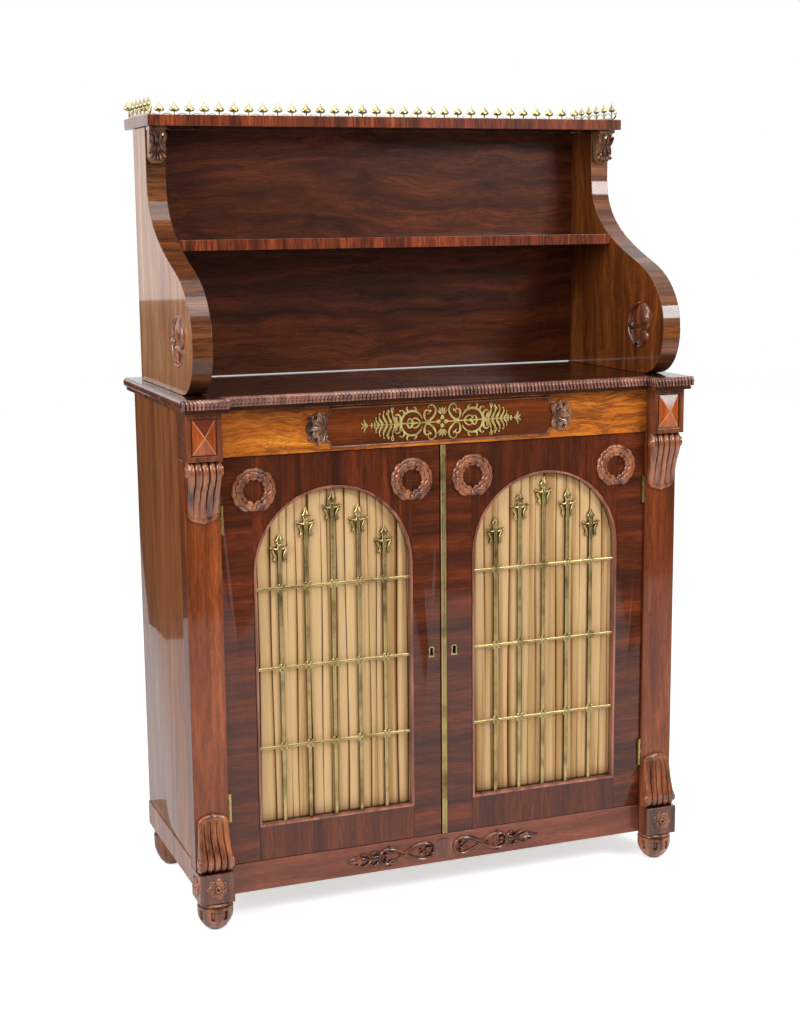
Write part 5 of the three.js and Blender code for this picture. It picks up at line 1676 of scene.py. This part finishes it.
@dataclass
class Spear:
    """A spear of the grille: a flame, a collar, two curled prongs and a half-round rod."""

    head_width: float = 15 * MM
    head_length: float = 15 * MM
    rod_width: float = 7 * MM
    thickness: float = 3.6 * MM
    # The head's outline down from its point, as shares of half its width and of its length.
    outline: tuple[tuple[float, float], ...] = (
        (0.0, 0.0), (0.14, 0.1), (0.3, 0.32), (0.62, 0.62), (0.98, 0.9), (1.0, 1.0), (0.66, 1.06),
        (0.6, 1.14), (0.74, 1.22), (0.72, 1.34), (0.58, 1.42), (0.56, 1.78), (0.72, 1.86),
        (0.7, 1.96), (0.0, 2.0),
    )
    prongs: tuple[Stroke, ...] = (
        Stroke((-1, -29.5), 0.04, 17, 4.8, 0.1, 0.2, 2.4, 12, 0.9),
        Stroke((14, -28.5), -1.3, 28, 7.5, -0.2, 1.3, 0, 18, 0.4),
        Stroke((8, -40), -1.0, 13, 5.0, 0.6, 0.6, 0, 10, 0.4),
    )

    def add(self, bm: Mesh, x: float, tip: float, foot: float, face: float) -> None:
        """Adds the spear.

        Args:
            bm: The grille's mesh.
            x: The rod's middle.
            tip: The level of its point.
            foot: The level of its lower end.
            face: The plane that its flat back lies on, as a y.
        """
        half, length = self.head_width / 2, self.head_length
        profile = [(half * out, -length * down) for out, down in self.outline]
        flat = Matrix.Diagonal((1, 0.44, 1, 1))
        add_turned(bm, profile, Matrix.Translation((x, face - 1.4 * MM, tip)) @ flat, 14)
        plane = upright_on(x, face, tip)
        for prong in self.prongs:
            for sign in (-1, 1):
                prong.add(bm, plane, self.thickness, flip=(sign, 1))
        top = tip - 1.9 * length

        def rod(u: float, v: float) -> Vector:
            """Finds a point of the rod.

            Args:
                u: The share of its length.
                v: The share of the way round it.

            Returns:
                The point.
            """
            across = self.rod_width / 2 * math.cos(TURN * v)
            depth = face - 1.2 * MM + 0.65 * self.thickness * math.sin(TURN * v)
            return Vector((x + across, depth, foot + (top - foot) * u))

        add_grid(bm, 1, 16, rod)


@dataclass
class Door:
    """One door: its frame, the bead round its arch, silk, grille, wreaths and fittings."""

    side: Side
    spears: int = 5
    bars: int = 3
    spear_drops: tuple[float, ...] = (0.0, 0.52, 1.37)  # from the middle outwards, in pitches
    pleats: int = 17
    pleat_depth: float = 4.9 * MM
    hem: float = 1.03  # the cut width of the silk to the hung one
    bar_height: float = 5.4 * MM
    bar_thickness: float = 3.2 * MM
    stud: float = 7.6 * MM

    @property
    def name(self) -> str:
        """The door's body, which also starts its nodes' names."""
        return f"{self.side.word}_door"

    def node(self, piece: str) -> str:
        """The name of one of the door's nodes."""
        return f"{self.name}_{piece}"

    def eased(self, piece: str, finish: Finish, edge: float) -> bpy.types.Object:
        """Replaces one of the door's nodes by its own shape with eased edges."""
        return eased(self.node(piece), finish, edge, self.name)

    def keep(self, bm: Mesh, piece: str, made: str, finish: Finish) -> bpy.types.Object:
        """Turns a mesh into the piece that replaces one of the door's nodes.

        Args:
            bm: The mesh.
            piece: The node's own name.
            made: How it was made, which ends the piece's name.
            finish: Its finish.

        Returns:
            The piece.
        """
        node = self.node(piece)
        return keep(bm, f"{node}_{made}", finish, [node], self.side, body=self.name)

    def build(self) -> None:
        """Builds the door."""
        for stile in ("hinge_stile", "lock_stile"):
            self.eased(stile, STILE, 0.4 * MM)
        for rail in ("arched_rail", "bottom_rail"):
            self.eased(rail, RAIL, 0.4 * MM)
        self.eased("opening_bead", BEAD, 0.35 * MM)
        self.build_silk()
        self.build_grille()
        for place in ("outer_wreath", "inner_wreath"):
            box = Box.of("left_door_" + place)
            bm = bmesh.new()
            Wreath().add(bm, upright_on(box.middle.x, box.high.y, box.middle.z))
            self.keep(bm, place, "carved", CARVED)
        for leaf in ("lower_leaf", "upper_leaf"):
            dress(self.node(leaf), FITTING_BRASS)
        if self.side is Side.LEFT:
            self.eased("keyhole_liner", GALLERY_BRASS, 0.3 * MM)
        else:
            case = self.eased("lock_case", LOCK_IRON, 0.2 * MM)
            band(case, GALLERY_BRASS, lambda normal: normal.y < -0.9)
            dress(self.node("lock_bolt"), FITTING_BRASS)
            self.eased("meeting_strip", GRILLE_BRASS, 0.25 * MM)

    def fold(self, u: float, z: float) -> tuple[float, float]:
        """Where the silk is at a share of its gathered width.

        Args:
            u: The share of its length along the folds.
            z: The height, which the folds wander with.

        Returns:
            The share of the opening's width, and the share of the pleats' depth.
        """
        loose = min(1.0, 12 * u, 12 * (1 - u)) * math.sin(1.4 * u * self.pleats + self.side.value)
        turn = u * self.pleats + 0.28 * loose
        phase = math.pi * (turn % 1.0)
        deep = abs(math.sin(phase)) ** 0.5
        # Each fold laps over the last: the cloth runs back under it before it comes forward.
        lap = 0.34 * (1 - deep) - 0.11 * math.sin(2 * phase) + 0.09 * math.sin(9 * z + 3 * turn)
        ease = min(1.0, 20 * u, 20 * (1 - u))
        wave = 0.88 + 0.12 * math.sin(1.9 * turn + 3 * z)
        return u + ease * lap / self.pleats, deep * wave

    def build_silk(self) -> None:
        """Builds the gathered silk behind the arch."""
        box = Box.of("left_door_silk")
        back = box.high.y - 1.2 * MM

        def place(u: float, v: float) -> Vector:
            """Finds a point of the cloth.

            Args:
                u: The share of its width.
                v: The share of its height.

            Returns:
                The point.
            """
            z = box.low.z + v * box.size.z
            across, deep = self.fold(u, z)
            return Vector((box.low.x + across * box.size.x, back - deep * self.pleat_depth, z))

        bm = bmesh.new()
        add_sheet(bm, self.pleats * 24, 14, place)
        width = self.hem * sum(face.calc_area() for face in bm.faces) / box.size.z
        piece = self.keep(bm, "silk", "gathered", SILK)
        cloth = piece.modifiers.new("cloth", "SOLIDIFY")
        cloth.thickness = 0.5 * MM
        cloth.offset = 0.0
        self.node("arched_rail")
        self.node("bottom_rail")

    def build_grille(self) -> None:
        """Builds the brass grille: spears that rise with the arch, tied by three bars."""
        box = Box.of("left_door_grille")
        opening = Box.of("left_door_bottom_rail")
        crown = Box.of("left_door_opening_bead").high.z
        half = (opening.size.x + 0.6 * MM) / 2
        pitch = (2 * half - 4 * MM) / (self.spears + 1)
        middle = (self.spears - 1) // 2
        xs = [box.middle.x + (i - middle) * pitch for i in range(self.spears)]
        bm = bmesh.new()
        for i, x in enumerate(xs):
            drop = self.spear_drops[abs(i - middle)] * pitch
            Spear().add(bm, x, box.high.z - drop, box.low.z, box.high.y - 0.8 * MM)
        radius = self.bar_thickness / 2
        axis = box.low.y + 0.3 * MM + radius
        rise = (crown - half - 28 * MM - opening.high.z) / self.bars
        for i in range(self.bars):
            level = opening.high.z + (i + 1) * rise

            def bar(u: float, v: float, level: float = level) -> Vector:
                """Finds a point of the bar.

                Args:
                    u: The share of its length.
                    v: The share of the way round it.
                    level: The level of its middle.

                Returns:
                    The point.
                """
                up = level + self.bar_height / 2 * math.cos(TURN * v)
                x = box.low.x + u * box.size.x
                return Vector((x, axis + radius * math.sin(TURN * v), up))

            add_grid(bm, 1, 12, bar)
            for x in xs:
                self.add_stud(bm, upright_on(x, axis - radius + 0.4 * MM, level))
        self.keep(bm, "grille", "cast", GRILLE_BRASS)

    def add_stud(self, bm: Mesh, plane: Matrix) -> None:
        """Adds the small square flower that covers a crossing.

        Args:
            bm: The grille's mesh.
            plane: The plane that it lies on.
        """
        leaf = Leaf(self.stud * 1.25, self.stud * 0.95, 1.2 * MM, widest=0.62, steps=(4, 4))
        for i in range(4):
            leaf.add(bm, plane @ Matrix.Rotation((i + 0.5) * QUARTER, 4, "Z"))
        add_knob(bm, plane, self.stud * 0.34, 1.6 * MM)


# Superstructure


@dataclass
class ScrollEnd:
    """One of the two curved ends of the shelves, with a carved boss on each face."""

    side: Side
    relief: float = 7 * MM
    boss: tuple[float, float] = (92 * MM, 86 * MM)  # from the end's front, and from its foot
    bead: tuple[float, float, float] = (-19 * MM, 1 * MM, 8 * MM)  # across, up and radius
    # A boss's petals: foot, heading in quarter turns, length, width, widest place and sway.
    petals: tuple[tuple[float, ...], ...] = (
        (9, 2, 1.12, 41, 40, 0.3, -6), (9, -2, -1.05, 36, 42, 0.34, 5),
        (-8, -30, 0.25, 26, 12, 0.4, 6),
    )
    strokes: tuple[Stroke, ...] = (
        Stroke((8, 45), 2.2, 112, 7.5, 1.5, 0.2, 3.6, 28, 0.8),
        Stroke((12, 45), -0.3, 64, 6.0, -1.15, 0.0, 0, 20, 0.8),
        Stroke((-12, -36), -0.2, 34, 6.0, 0.9, 2.6, 3.6, 20, 0.8),
    )

    def build(self) -> None:
        """Builds the end."""
        word = self.side.word
        box = Box.of("left_scroll_end")
        outer, inner = box.low.x + self.relief, box.high.x - self.relief
        bm = copy_of("left_scroll_end")
        plane_off(bm, (outer + SHAVE, 0, 0), (-1, 0, 0))
        plane_off(bm, (inner - SHAVE, 0, 0), (1, 0, 0))
        node = f"{word}_scroll_end"
        piece = keep(bm, node + "_veneered", END_FACE, [node], self.side, 1.0 * MM)
        band(piece, END_EDGE, lambda normal: abs(normal.x) < 0.5)
        # Painted light: the outer face takes the lighter copy of the end rosewood.
        band(piece, END_PAINTED_LIT, lambda normal: normal.x * self.side.value < -0.5)
        y, z = box.low.y + self.boss[0], box.low.z + self.boss[1]
        # The inner boss takes the darker carved finish as painted shade, and the outer one the
        # usual.
        faces = (("outer", outer, -1, CARVED), ("inner", inner, 1, CARVED_DARK))
        for face, x, way, finish in faces:
            bm = bmesh.new()
            self.add_boss(bm, sideways_on(x, y, z, way) @ Matrix.Diagonal((-1.3 * way, 1, 1, 1)))
            keep(bm, f"{word}_end_{face}_boss", finish, (), self.side)

    def add_boss(self, bm: Mesh, plane: Matrix) -> None:
        """Adds a boss: two fat petals towards the front, a bead behind, and a leafy foot.

        Args:
            bm: The mesh that gets it.
            plane: The plane that it lies on, with its x towards the front.
        """
        for x, y, heading, length, width, widest, sway in self.petals:
            foot = Matrix.Translation((x * MM, y * MM, 0))
            size = (length * MM, width * MM, self.relief, 0, sway * MM)
            leaf = Leaf(*size, widest=widest, steps=(16, 14))
            leaf.add(bm, plane @ foot @ Matrix.Rotation(heading * QUARTER, 4, "Z"))
        for stroke in self.strokes:
            stroke.add(bm, plane, 0.85 * self.relief)
        across, up, radius = self.bead
        add_knob(bm, plane @ Matrix.Translation((across, up, 0)), radius, self.relief)


@dataclass
class LeafBracket:
    """An acanthus bracket under the top board: fronds that part above, and a curled tip below."""

    side: Side
    edge: float = 3 * MM  # by which its sides fall back
    # The body's outline, by share of the way down: how far it stands out, and its width.
    profile: tuple[tuple[float, float, float], ...] = (
        (0, 1, 1), (0.08, 1, 1), (0.11, 0.8, 0.94), (0.3, 0.78, 0.94), (0.5, 0.62, 0.94),
        (0.66, 0.5, 0.94), (0.8, 0.52, 0.94), (0.9, 0.46, 0.84), (1, 0.2, 0.5),
    )
    # A leaf's foot as shares across and down, its heading in quarter turns from outwards to
    # downwards, its length, width, rise, lift and sway in millimetres, and where it is widest.
    leaves: tuple[tuple[float, ...], ...] = (
        (0.16, 0.6, -0.96, 29, 5.5, 6.4, 1, 1.5, 0.6),
        (0.36, 0.54, -0.8, 25, 7, 6.4, 1.5, 4, 0.6),
        (0.72, 0.5, -0.92, 21, 5, 5.4, 1, 2, 0.5),
        (0.0, 0.42, 1.0, 24, 5.5, 6.2, 0, 0, 0.45),
        (0.16, 0.42, 0.68, 24, 6.5, 6.4, 1, -3, 0.5),
        (0.5, 0.4, 0.8, 20, 6, 5.6, 1, -2, 0.5),
        (0.0, 0.68, 1.0, 19, 7, 6.0, 7, 0, 0.66),
        (0.18, 0.67, 0.84, 18, 7, 6.0, 7, 0, 0.66),
        (0.4, 0.66, 0.66, 16, 7, 6.0, 6, 0, 0.66),
    )

    def build(self) -> None:
        """Builds the bracket."""
        node = f"{self.side.word}_leaf_bracket"
        box = Box.of("left_leaf_bracket")
        half, reach = box.size.x / 2, box.size.y

        def on(across: float, down: float, up: float) -> Vector:
            """Finds a place on the body.

            Args:
                across: Its distance from the middle.
                down: Its distance from the top.
                up: How far it stands up from the body.

            Returns:
                The place.
            """
            out = reach * through(self.profile, min(1.0, max(0.0, down / box.size.z))) + up
            across = min(half, max(-half, across))
            down = min(box.size.z, down)
            return Vector((box.middle.x + across, box.high.y - min(out, reach), box.high.z - down))

        def place(t: float, v: float) -> Vector:
            """Finds a point of the body.

            Args:
                t: The share of the way down.
                v: The share of the way across.

            Returns:
                The point.
            """
            s = 2 * v - 1
            fall = self.edge * abs(s) ** 3 * smooth(0.08, 0.12, t)
            return on(half * s * through(self.profile, t, 2), t * box.size.z, -fall)

        bm = bmesh.new()
        add_front(bm, 40, 12, place, box.high.y)
        for x, z, heading, *size, widest in self.leaves:
            leaf = Leaf(*(value * MM for value in size), widest=widest, steps=(14, 8))
            cos, sin = math.cos(heading * QUARTER), math.sin(heading * QUARTER)
            for mirror in (-1, 1) if x else (1,):

                def wrap(p: Vector) -> Vector:
                    """The place of a point of the leaf."""
                    across = x * half + p.x * cos - p.y * sin
                    return on(mirror * across, z * box.size.z + p.x * sin + p.y * cos, p.z)

                leaf.add(bm, wrap)
        keep(bm, node + "_carved", CARVED_LIGHT, [node], self.side)


@dataclass
class Shelves:
    """The back panel, the shelf and the top board."""

    light_gap: float = 1.8 * MM  # left under the back panel

    def build(self) -> None:
        """Builds the boards."""
        panel = eased("superstructure_back", BACK_PANEL, 0.15 * MM)
        middle = Box.of("superstructure_back").middle.z
        foot = Box.of("counter_top").high.z + self.light_gap
        for vert in panel.data.vertices:
            # Only a thin line of light shows under the panel.
            vert.co.z = foot if vert.co.z < middle else vert.co.z + 0.2 * MM
        for node in ("upper_shelf", "top_board"):
            board = eased(node, COUNTER, 0.9 * MM)
            band(board, BOARD_EDGE, lambda normal: abs(normal.z) < 0.5)


@dataclass
class Gallery:
    """The pierced brass gallery: arches between posts, and a lily on each post."""

    node: str = "brass_gallery"
    bays: int = 32
    side_bays: int = 5
    post: float = 3.0 * MM
    waist: float = 0.76  # of a post's width, half way up
    wire: float = 1.1 * MM
    rail: float = 4 * MM
    rise: float = 0.72  # of an arch, as a share of half its span
    finial_level: float = 15 * MM
    scroll: float = 9 * MM
    lily_reach: float = 9.6 * MM
    lily_squash: float = 0.45  # its depth, as a share of its width
    # The lily's outline upwards, as shares of its reach and of its height.
    lily: tuple[tuple[float, float], ...] = (
        (0.0, -0.1), (0.14, -0.08), (0.2, 0.02), (0.5, 0.0), (0.84, 0.07), (1.0, 0.2),
        (0.95, 0.32), (0.7, 0.45), (0.44, 0.58), (0.26, 0.7), (0.1, 0.8), (0.15, 0.88), (0.1, 0.96),
        (0.0, 1.0),
    )
    curl: Stroke = Stroke((0, 0), 0.0, 44, 3.2, 0.9, 3.6, 1.8, 30)
    box: Box = field(init=False)

    def __post_init__(self) -> None:
        """Takes the gallery's place from the frame."""
        self.box = Box.of(self.node)

    def build(self) -> None:
        """Builds the gallery: a strip along the back, and a shorter one on each side."""
        low, high = self.box.low, self.box.high
        half, back = high.x - 0.8 * MM, high.y - 0.8 * MM
        run = back - low.y - 2 * self.scroll
        bm = bmesh.new()
        self.add_strip(bm, Vector((-half, back)), Vector((1, 0)), 2 * half, self.bays)
        for x in (-half, half):
            self.add_strip(bm, Vector((x, back)), Vector((0, -1)), run, self.side_bays, 1)
            # The curl that ends the strip at the front.
            end = sideways_on(x, back - run, low.z + self.rail / 2, -1)
            self.curl.add(bm, end @ Matrix.Translation((0, 0, -self.wire)), 2 * self.wire)
        keep(bm, "gallery_cast", GALLERY_BRASS, [self.node])

    def add_strip(
        self, bm: Mesh, start: Vector, way: Vector, length: float, bays: int, first: int = 0
    ) -> None:
        """Adds a straight strip.

        Args:
            bm: The gallery's mesh.
            start: The first post's place in plan.
            way: The direction that the strip runs in.
            length: From its first post to its last.
            bays: How many arches it has.
            first: The first post that it adds, where another strip has set the corner's.
        """

        def at(along: float, up: float) -> Vector:
            """The place at a distance along the strip and above its foot."""
            plan = start + way * along
            return Vector((plan.x, plan.y, self.box.low.z + up))

        pitch = length / bays
        along, aside = abs(way.x), abs(way.y)
        thick = Vector((aside, along, 0)) * self.wire
        ends = [at(0, 0), at(length, self.rail)]
        add_box(bm, Vector(map(min, *ends)) - thick, Vector(map(max, *ends)) + thick)
        for bay in range(bays):
            self.add_arch(bm, at, (bay + 0.5) * pitch, pitch / 2, thick)
        level, half = self.finial_level, self.post / 2
        post = [(half, 0.0), (half * self.waist, level * 0.5), (half, level)]
        tall = self.box.size.z - level
        lily = [(self.lily_reach * out, tall * up) for out, up in self.lily]
        squash = self.lily_squash
        flat = Matrix.Diagonal((along + squash * aside, aside + squash * along, 1, 1))
        for i in range(first, bays + 1):
            foot = Matrix.Translation(at(i * pitch, 0))
            add_turned(bm, post, foot, 8)
            add_turned(bm, lily, foot @ Matrix.Translation((0, 0, level)) @ flat, 12)

    def add_arch(
        self, bm: Mesh, at: Place, middle: float, radius: float, thick: Vector
    ) -> None:
        """Adds one arch of cast wire on the rail.

        Args:
            bm: The gallery's mesh.
            at: Gives the place at a distance along the strip and above its foot.
            middle: The arch's middle along the strip.
            radius: Half its span.
            thick: Half the wire's thickness across the strip.
        """

        def place(u: float, v: float) -> Vector:
            """Finds a point of the wire.

            Args:
                u: The share of the arch.
                v: The share of the way round the wire.

            Returns:
                The point.
            """
            out = radius - self.wire + self.wire * math.cos(TURN * v)
            level = self.rail * 0.6 + self.rise * out * math.sin(math.pi * u)
            return at(middle - out * math.cos(math.pi * u), level) + thick * math.sin(TURN * v)

        add_grid(bm, 12, 6, place)


# Studio


@dataclass
class Studio:
    """The photograph's camera, soft lamps, a white floor, and the dark room in front."""

    yaw: float = 21.3  # degrees to the right
    pitch: float = 10.4  # down
    roll: float = -0.5
    eye: tuple[float, float, float] = (-1.137, -2.9189, 1.2313)
    focal: float = 1707.4  # in pixels of the photograph
    picture: tuple[float, float] = (800.0, 1020.0)
    principal: tuple[float, float] = (408.1, 523.0)
    sensor: float = 36.0
    target: tuple[float, float, float] = (0.0, 0.0, 0.75)  # that the lamps look at
    floor: float = 8.0  # from its middle to its edges
    ambient: float = 0.38  # the strength of the surroundings as a light
    glow: float = 0.62  # by which the camera sees the floor brighter than it is lit

    def build(self) -> None:
        """Builds the studio."""
        self.add_camera()
        self.add_world()
        self.add_floor()
        # Polished wood mirrors a dark room in front, above the white floor.
        self.add_flag("room front", (-3.0, -2.4), (3.4, -2.4), 0, 4)
        self.add_flag("room right", (3.4, -2.4), (3.4, 0.2), 0, 4)
        # And the left side, seen at a glance, mirrors a dark strip behind it.
        self.add_flag("strip", (-3.2, 1.2), (-0.5, 1.2), 0.22, 1.02)
        self.add_lamp("key", (1.45, -2.1, 2.1), 0.9, 42.0)
        self.add_lamp("fill", (-2.2, -1.1, 1.9), 1.2, 38.0)
        self.add_lamp("overhead", (0.0, -0.9, 3.2), 1.6, 26.0)

    def add_camera(self) -> None:
        """Sets the camera where the photographer's was."""
        data = bpy.data.cameras.new("camera")
        data.sensor_fit, data.sensor_width = "HORIZONTAL", self.sensor
        wide, tall = self.picture
        data.lens = self.focal * self.sensor / wide
        data.shift_x = (wide / 2 - self.principal[0]) / wide
        data.shift_y = (self.principal[1] - tall / 2) / wide
        data.clip_start, data.clip_end = 0.1, 20.0
        camera = bpy.data.objects.new("camera", data)
        camera.matrix_world = Matrix.Translation(self.eye)
        for degrees, axis in ((-self.yaw, "Z"), (90 - self.pitch, "X"), (self.roll, "Z")):
            camera.matrix_world @= Matrix.Rotation(math.radians(degrees), 4, axis)
        bpy.context.scene.collection.objects.link(camera)
        bpy.context.scene.camera = camera

    def add_lamp(
        self, name: str, place: tuple[float, float, float], size: float, watts: float
    ) -> None:
        """Adds a square soft lamp that looks at the middle of the piece.

        Args:
            name: The lamp's name.
            place: Where it stands.
            size: The length of its sides.
            watts: Its power.
        """
        data = bpy.data.lights.new(name, "AREA")
        data.shape, data.size, data.energy = "SQUARE", size, watts
        lamp = bpy.data.objects.new(name, data)
        lamp.location = place
        way = Vector(self.target) - Vector(place)
        lamp.rotation_euler = way.to_track_quat("-Z", "Y").to_euler()
        bpy.context.scene.collection.objects.link(lamp)

    def add_world(self) -> None:
        """Makes the surroundings white to see, and softer as a light."""
        world = bpy.data.worlds.new("white studio")
        graph = Graph(world)
        rays = graph.add("LightPath", {}).outputs
        shown = graph.add(
            "Math", {0: rays["Is Camera Ray"], 1: rays["Is Glossy Ray"]}, operation="MAXIMUM"
        )
        shown = graph.add(
            "Math", {0: shown, 1: rays["Is Transmission Ray"]}, operation="MAXIMUM"
        )
        strength = graph.add("MapRange", {"Value": shown, "To Min": self.ambient, "To Max": 1.0})
        white = graph.add("Background", {"Color": (1, 1, 1, 1), "Strength": strength})
        graph.add("OutputWorld", {"Surface": white})
        bpy.context.scene.world = world

    def add_plane(
        self, name: str, corners: Sequence[Sequence[float]], material: bpy.types.Material
    ) -> None:
        """Adds a flat sheet of the studio.

        Args:
            name: Its name.
            corners: Its four corners.
            material: Its material.
        """
        bm = bmesh.new()
        bm.faces.new([bm.verts.new(corner) for corner in corners])
        mesh = bpy.data.meshes.new(name)
        bm.to_mesh(mesh)
        bm.free()
        mesh.materials.append(material)
        sheet = bpy.data.objects.new(name, mesh)
        bpy.context.scene.collection.objects.link(sheet)

    def add_floor(self) -> None:
        """Adds white paper, which the camera sees a little brighter than it is lit."""
        graph = Graph(bpy.data.materials.new("white paper"))
        place = graph.add("TexCoord", {}).outputs["Object"]
        tone = graph.add("TexNoise", {"Vector": place, "Scale": 3.0, "Detail": 2.0})
        seen = graph.add("LightPath", {}).outputs["Is Camera Ray"]
        paper = graph.finish(
            Base_Color=graph.add("ValToRGB", {"Fac": tone}, [(0.3, "#f4f4f6"), (0.7, "#f6f6f7")]),
            Roughness=0.9,
            Specular_IOR_Level=0.1,
            Emission_Color=(1, 1, 1, 1),
            Emission_Strength=graph.add("MapRange", {"Value": seen, "To Max": self.glow}),
        )
        signs = ((-1, -1), (1, -1), (1, 1), (-1, 1))
        self.add_plane("floor", [(x * self.floor, y * self.floor, 0) for x, y in signs], paper)

    def add_flag(
        self,
        name: str,
        start: tuple[float, float],
        end: tuple[float, float],
        foot: float,
        top: float,
    ) -> None:
        """Adds an upright dark sheet that only mirror images show.

        Args:
            name: Its name.
            start: One end of it, in plan.
            end: The other end.
            foot: The level of its lower edge.
            top: The level of its upper edge.
        """
        graph = Graph(bpy.data.materials.new(name))
        mirrored = graph.add("LightPath", {}).outputs["Is Glossy Ray"]
        clear = graph.add("BsdfTransparent", {})
        dark = graph.add("BsdfPrincipled", {"Base Color": linear("#26221f"), "Roughness": 0.9})
        shown = graph.add("MixShader", {0: mirrored, 1: clear, 2: dark})
        graph.add("OutputMaterial", {"Surface": shown})
        corners = [(*start, foot), (*end, foot), (*end, top), (*start, top)]
        self.add_plane(name, corners, graph.owner)


def main() -> None:
    """Builds the chiffonier, piece by piece, and its studio."""
    logging.basicConfig(level=logging.INFO, format="%(name)s: %(message)s")
    bpy.context.scene.view_settings.view_transform = "Standard"
    pieces: list[tuple[str, object]] = [("studio", Studio()), ("carcase", Carcase())]
    for side in Side:
        pieces += [
            (f"{side.word} pilaster", Pilaster(side)),
            (f"{side.word} upper corbel", Corbel(side, Way.HANGING)),
            (f"{side.word} lower corbel", Corbel(side, Way.STANDING)),
            (f"{side.word} front foot", Foot(side, "front")),
            (f"{side.word} back foot", Foot(side, "back")),
            (f"{side.word} door", Door(side)),
            (f"{side.word} scroll end", ScrollEnd(side)),
            (f"{side.word} leaf bracket", LeafBracket(side)),
        ]
    pieces += [
        ("frieze", Frieze()),
        ("apron", Apron()),
        ("counter", Counter()),
        ("shelves", Shelves()),
        ("gallery", Gallery()),
    ]
    for name, piece in pieces:
        piece.build()
        log.info("built the %s", name)


if __name__ == "__main__":
    main()
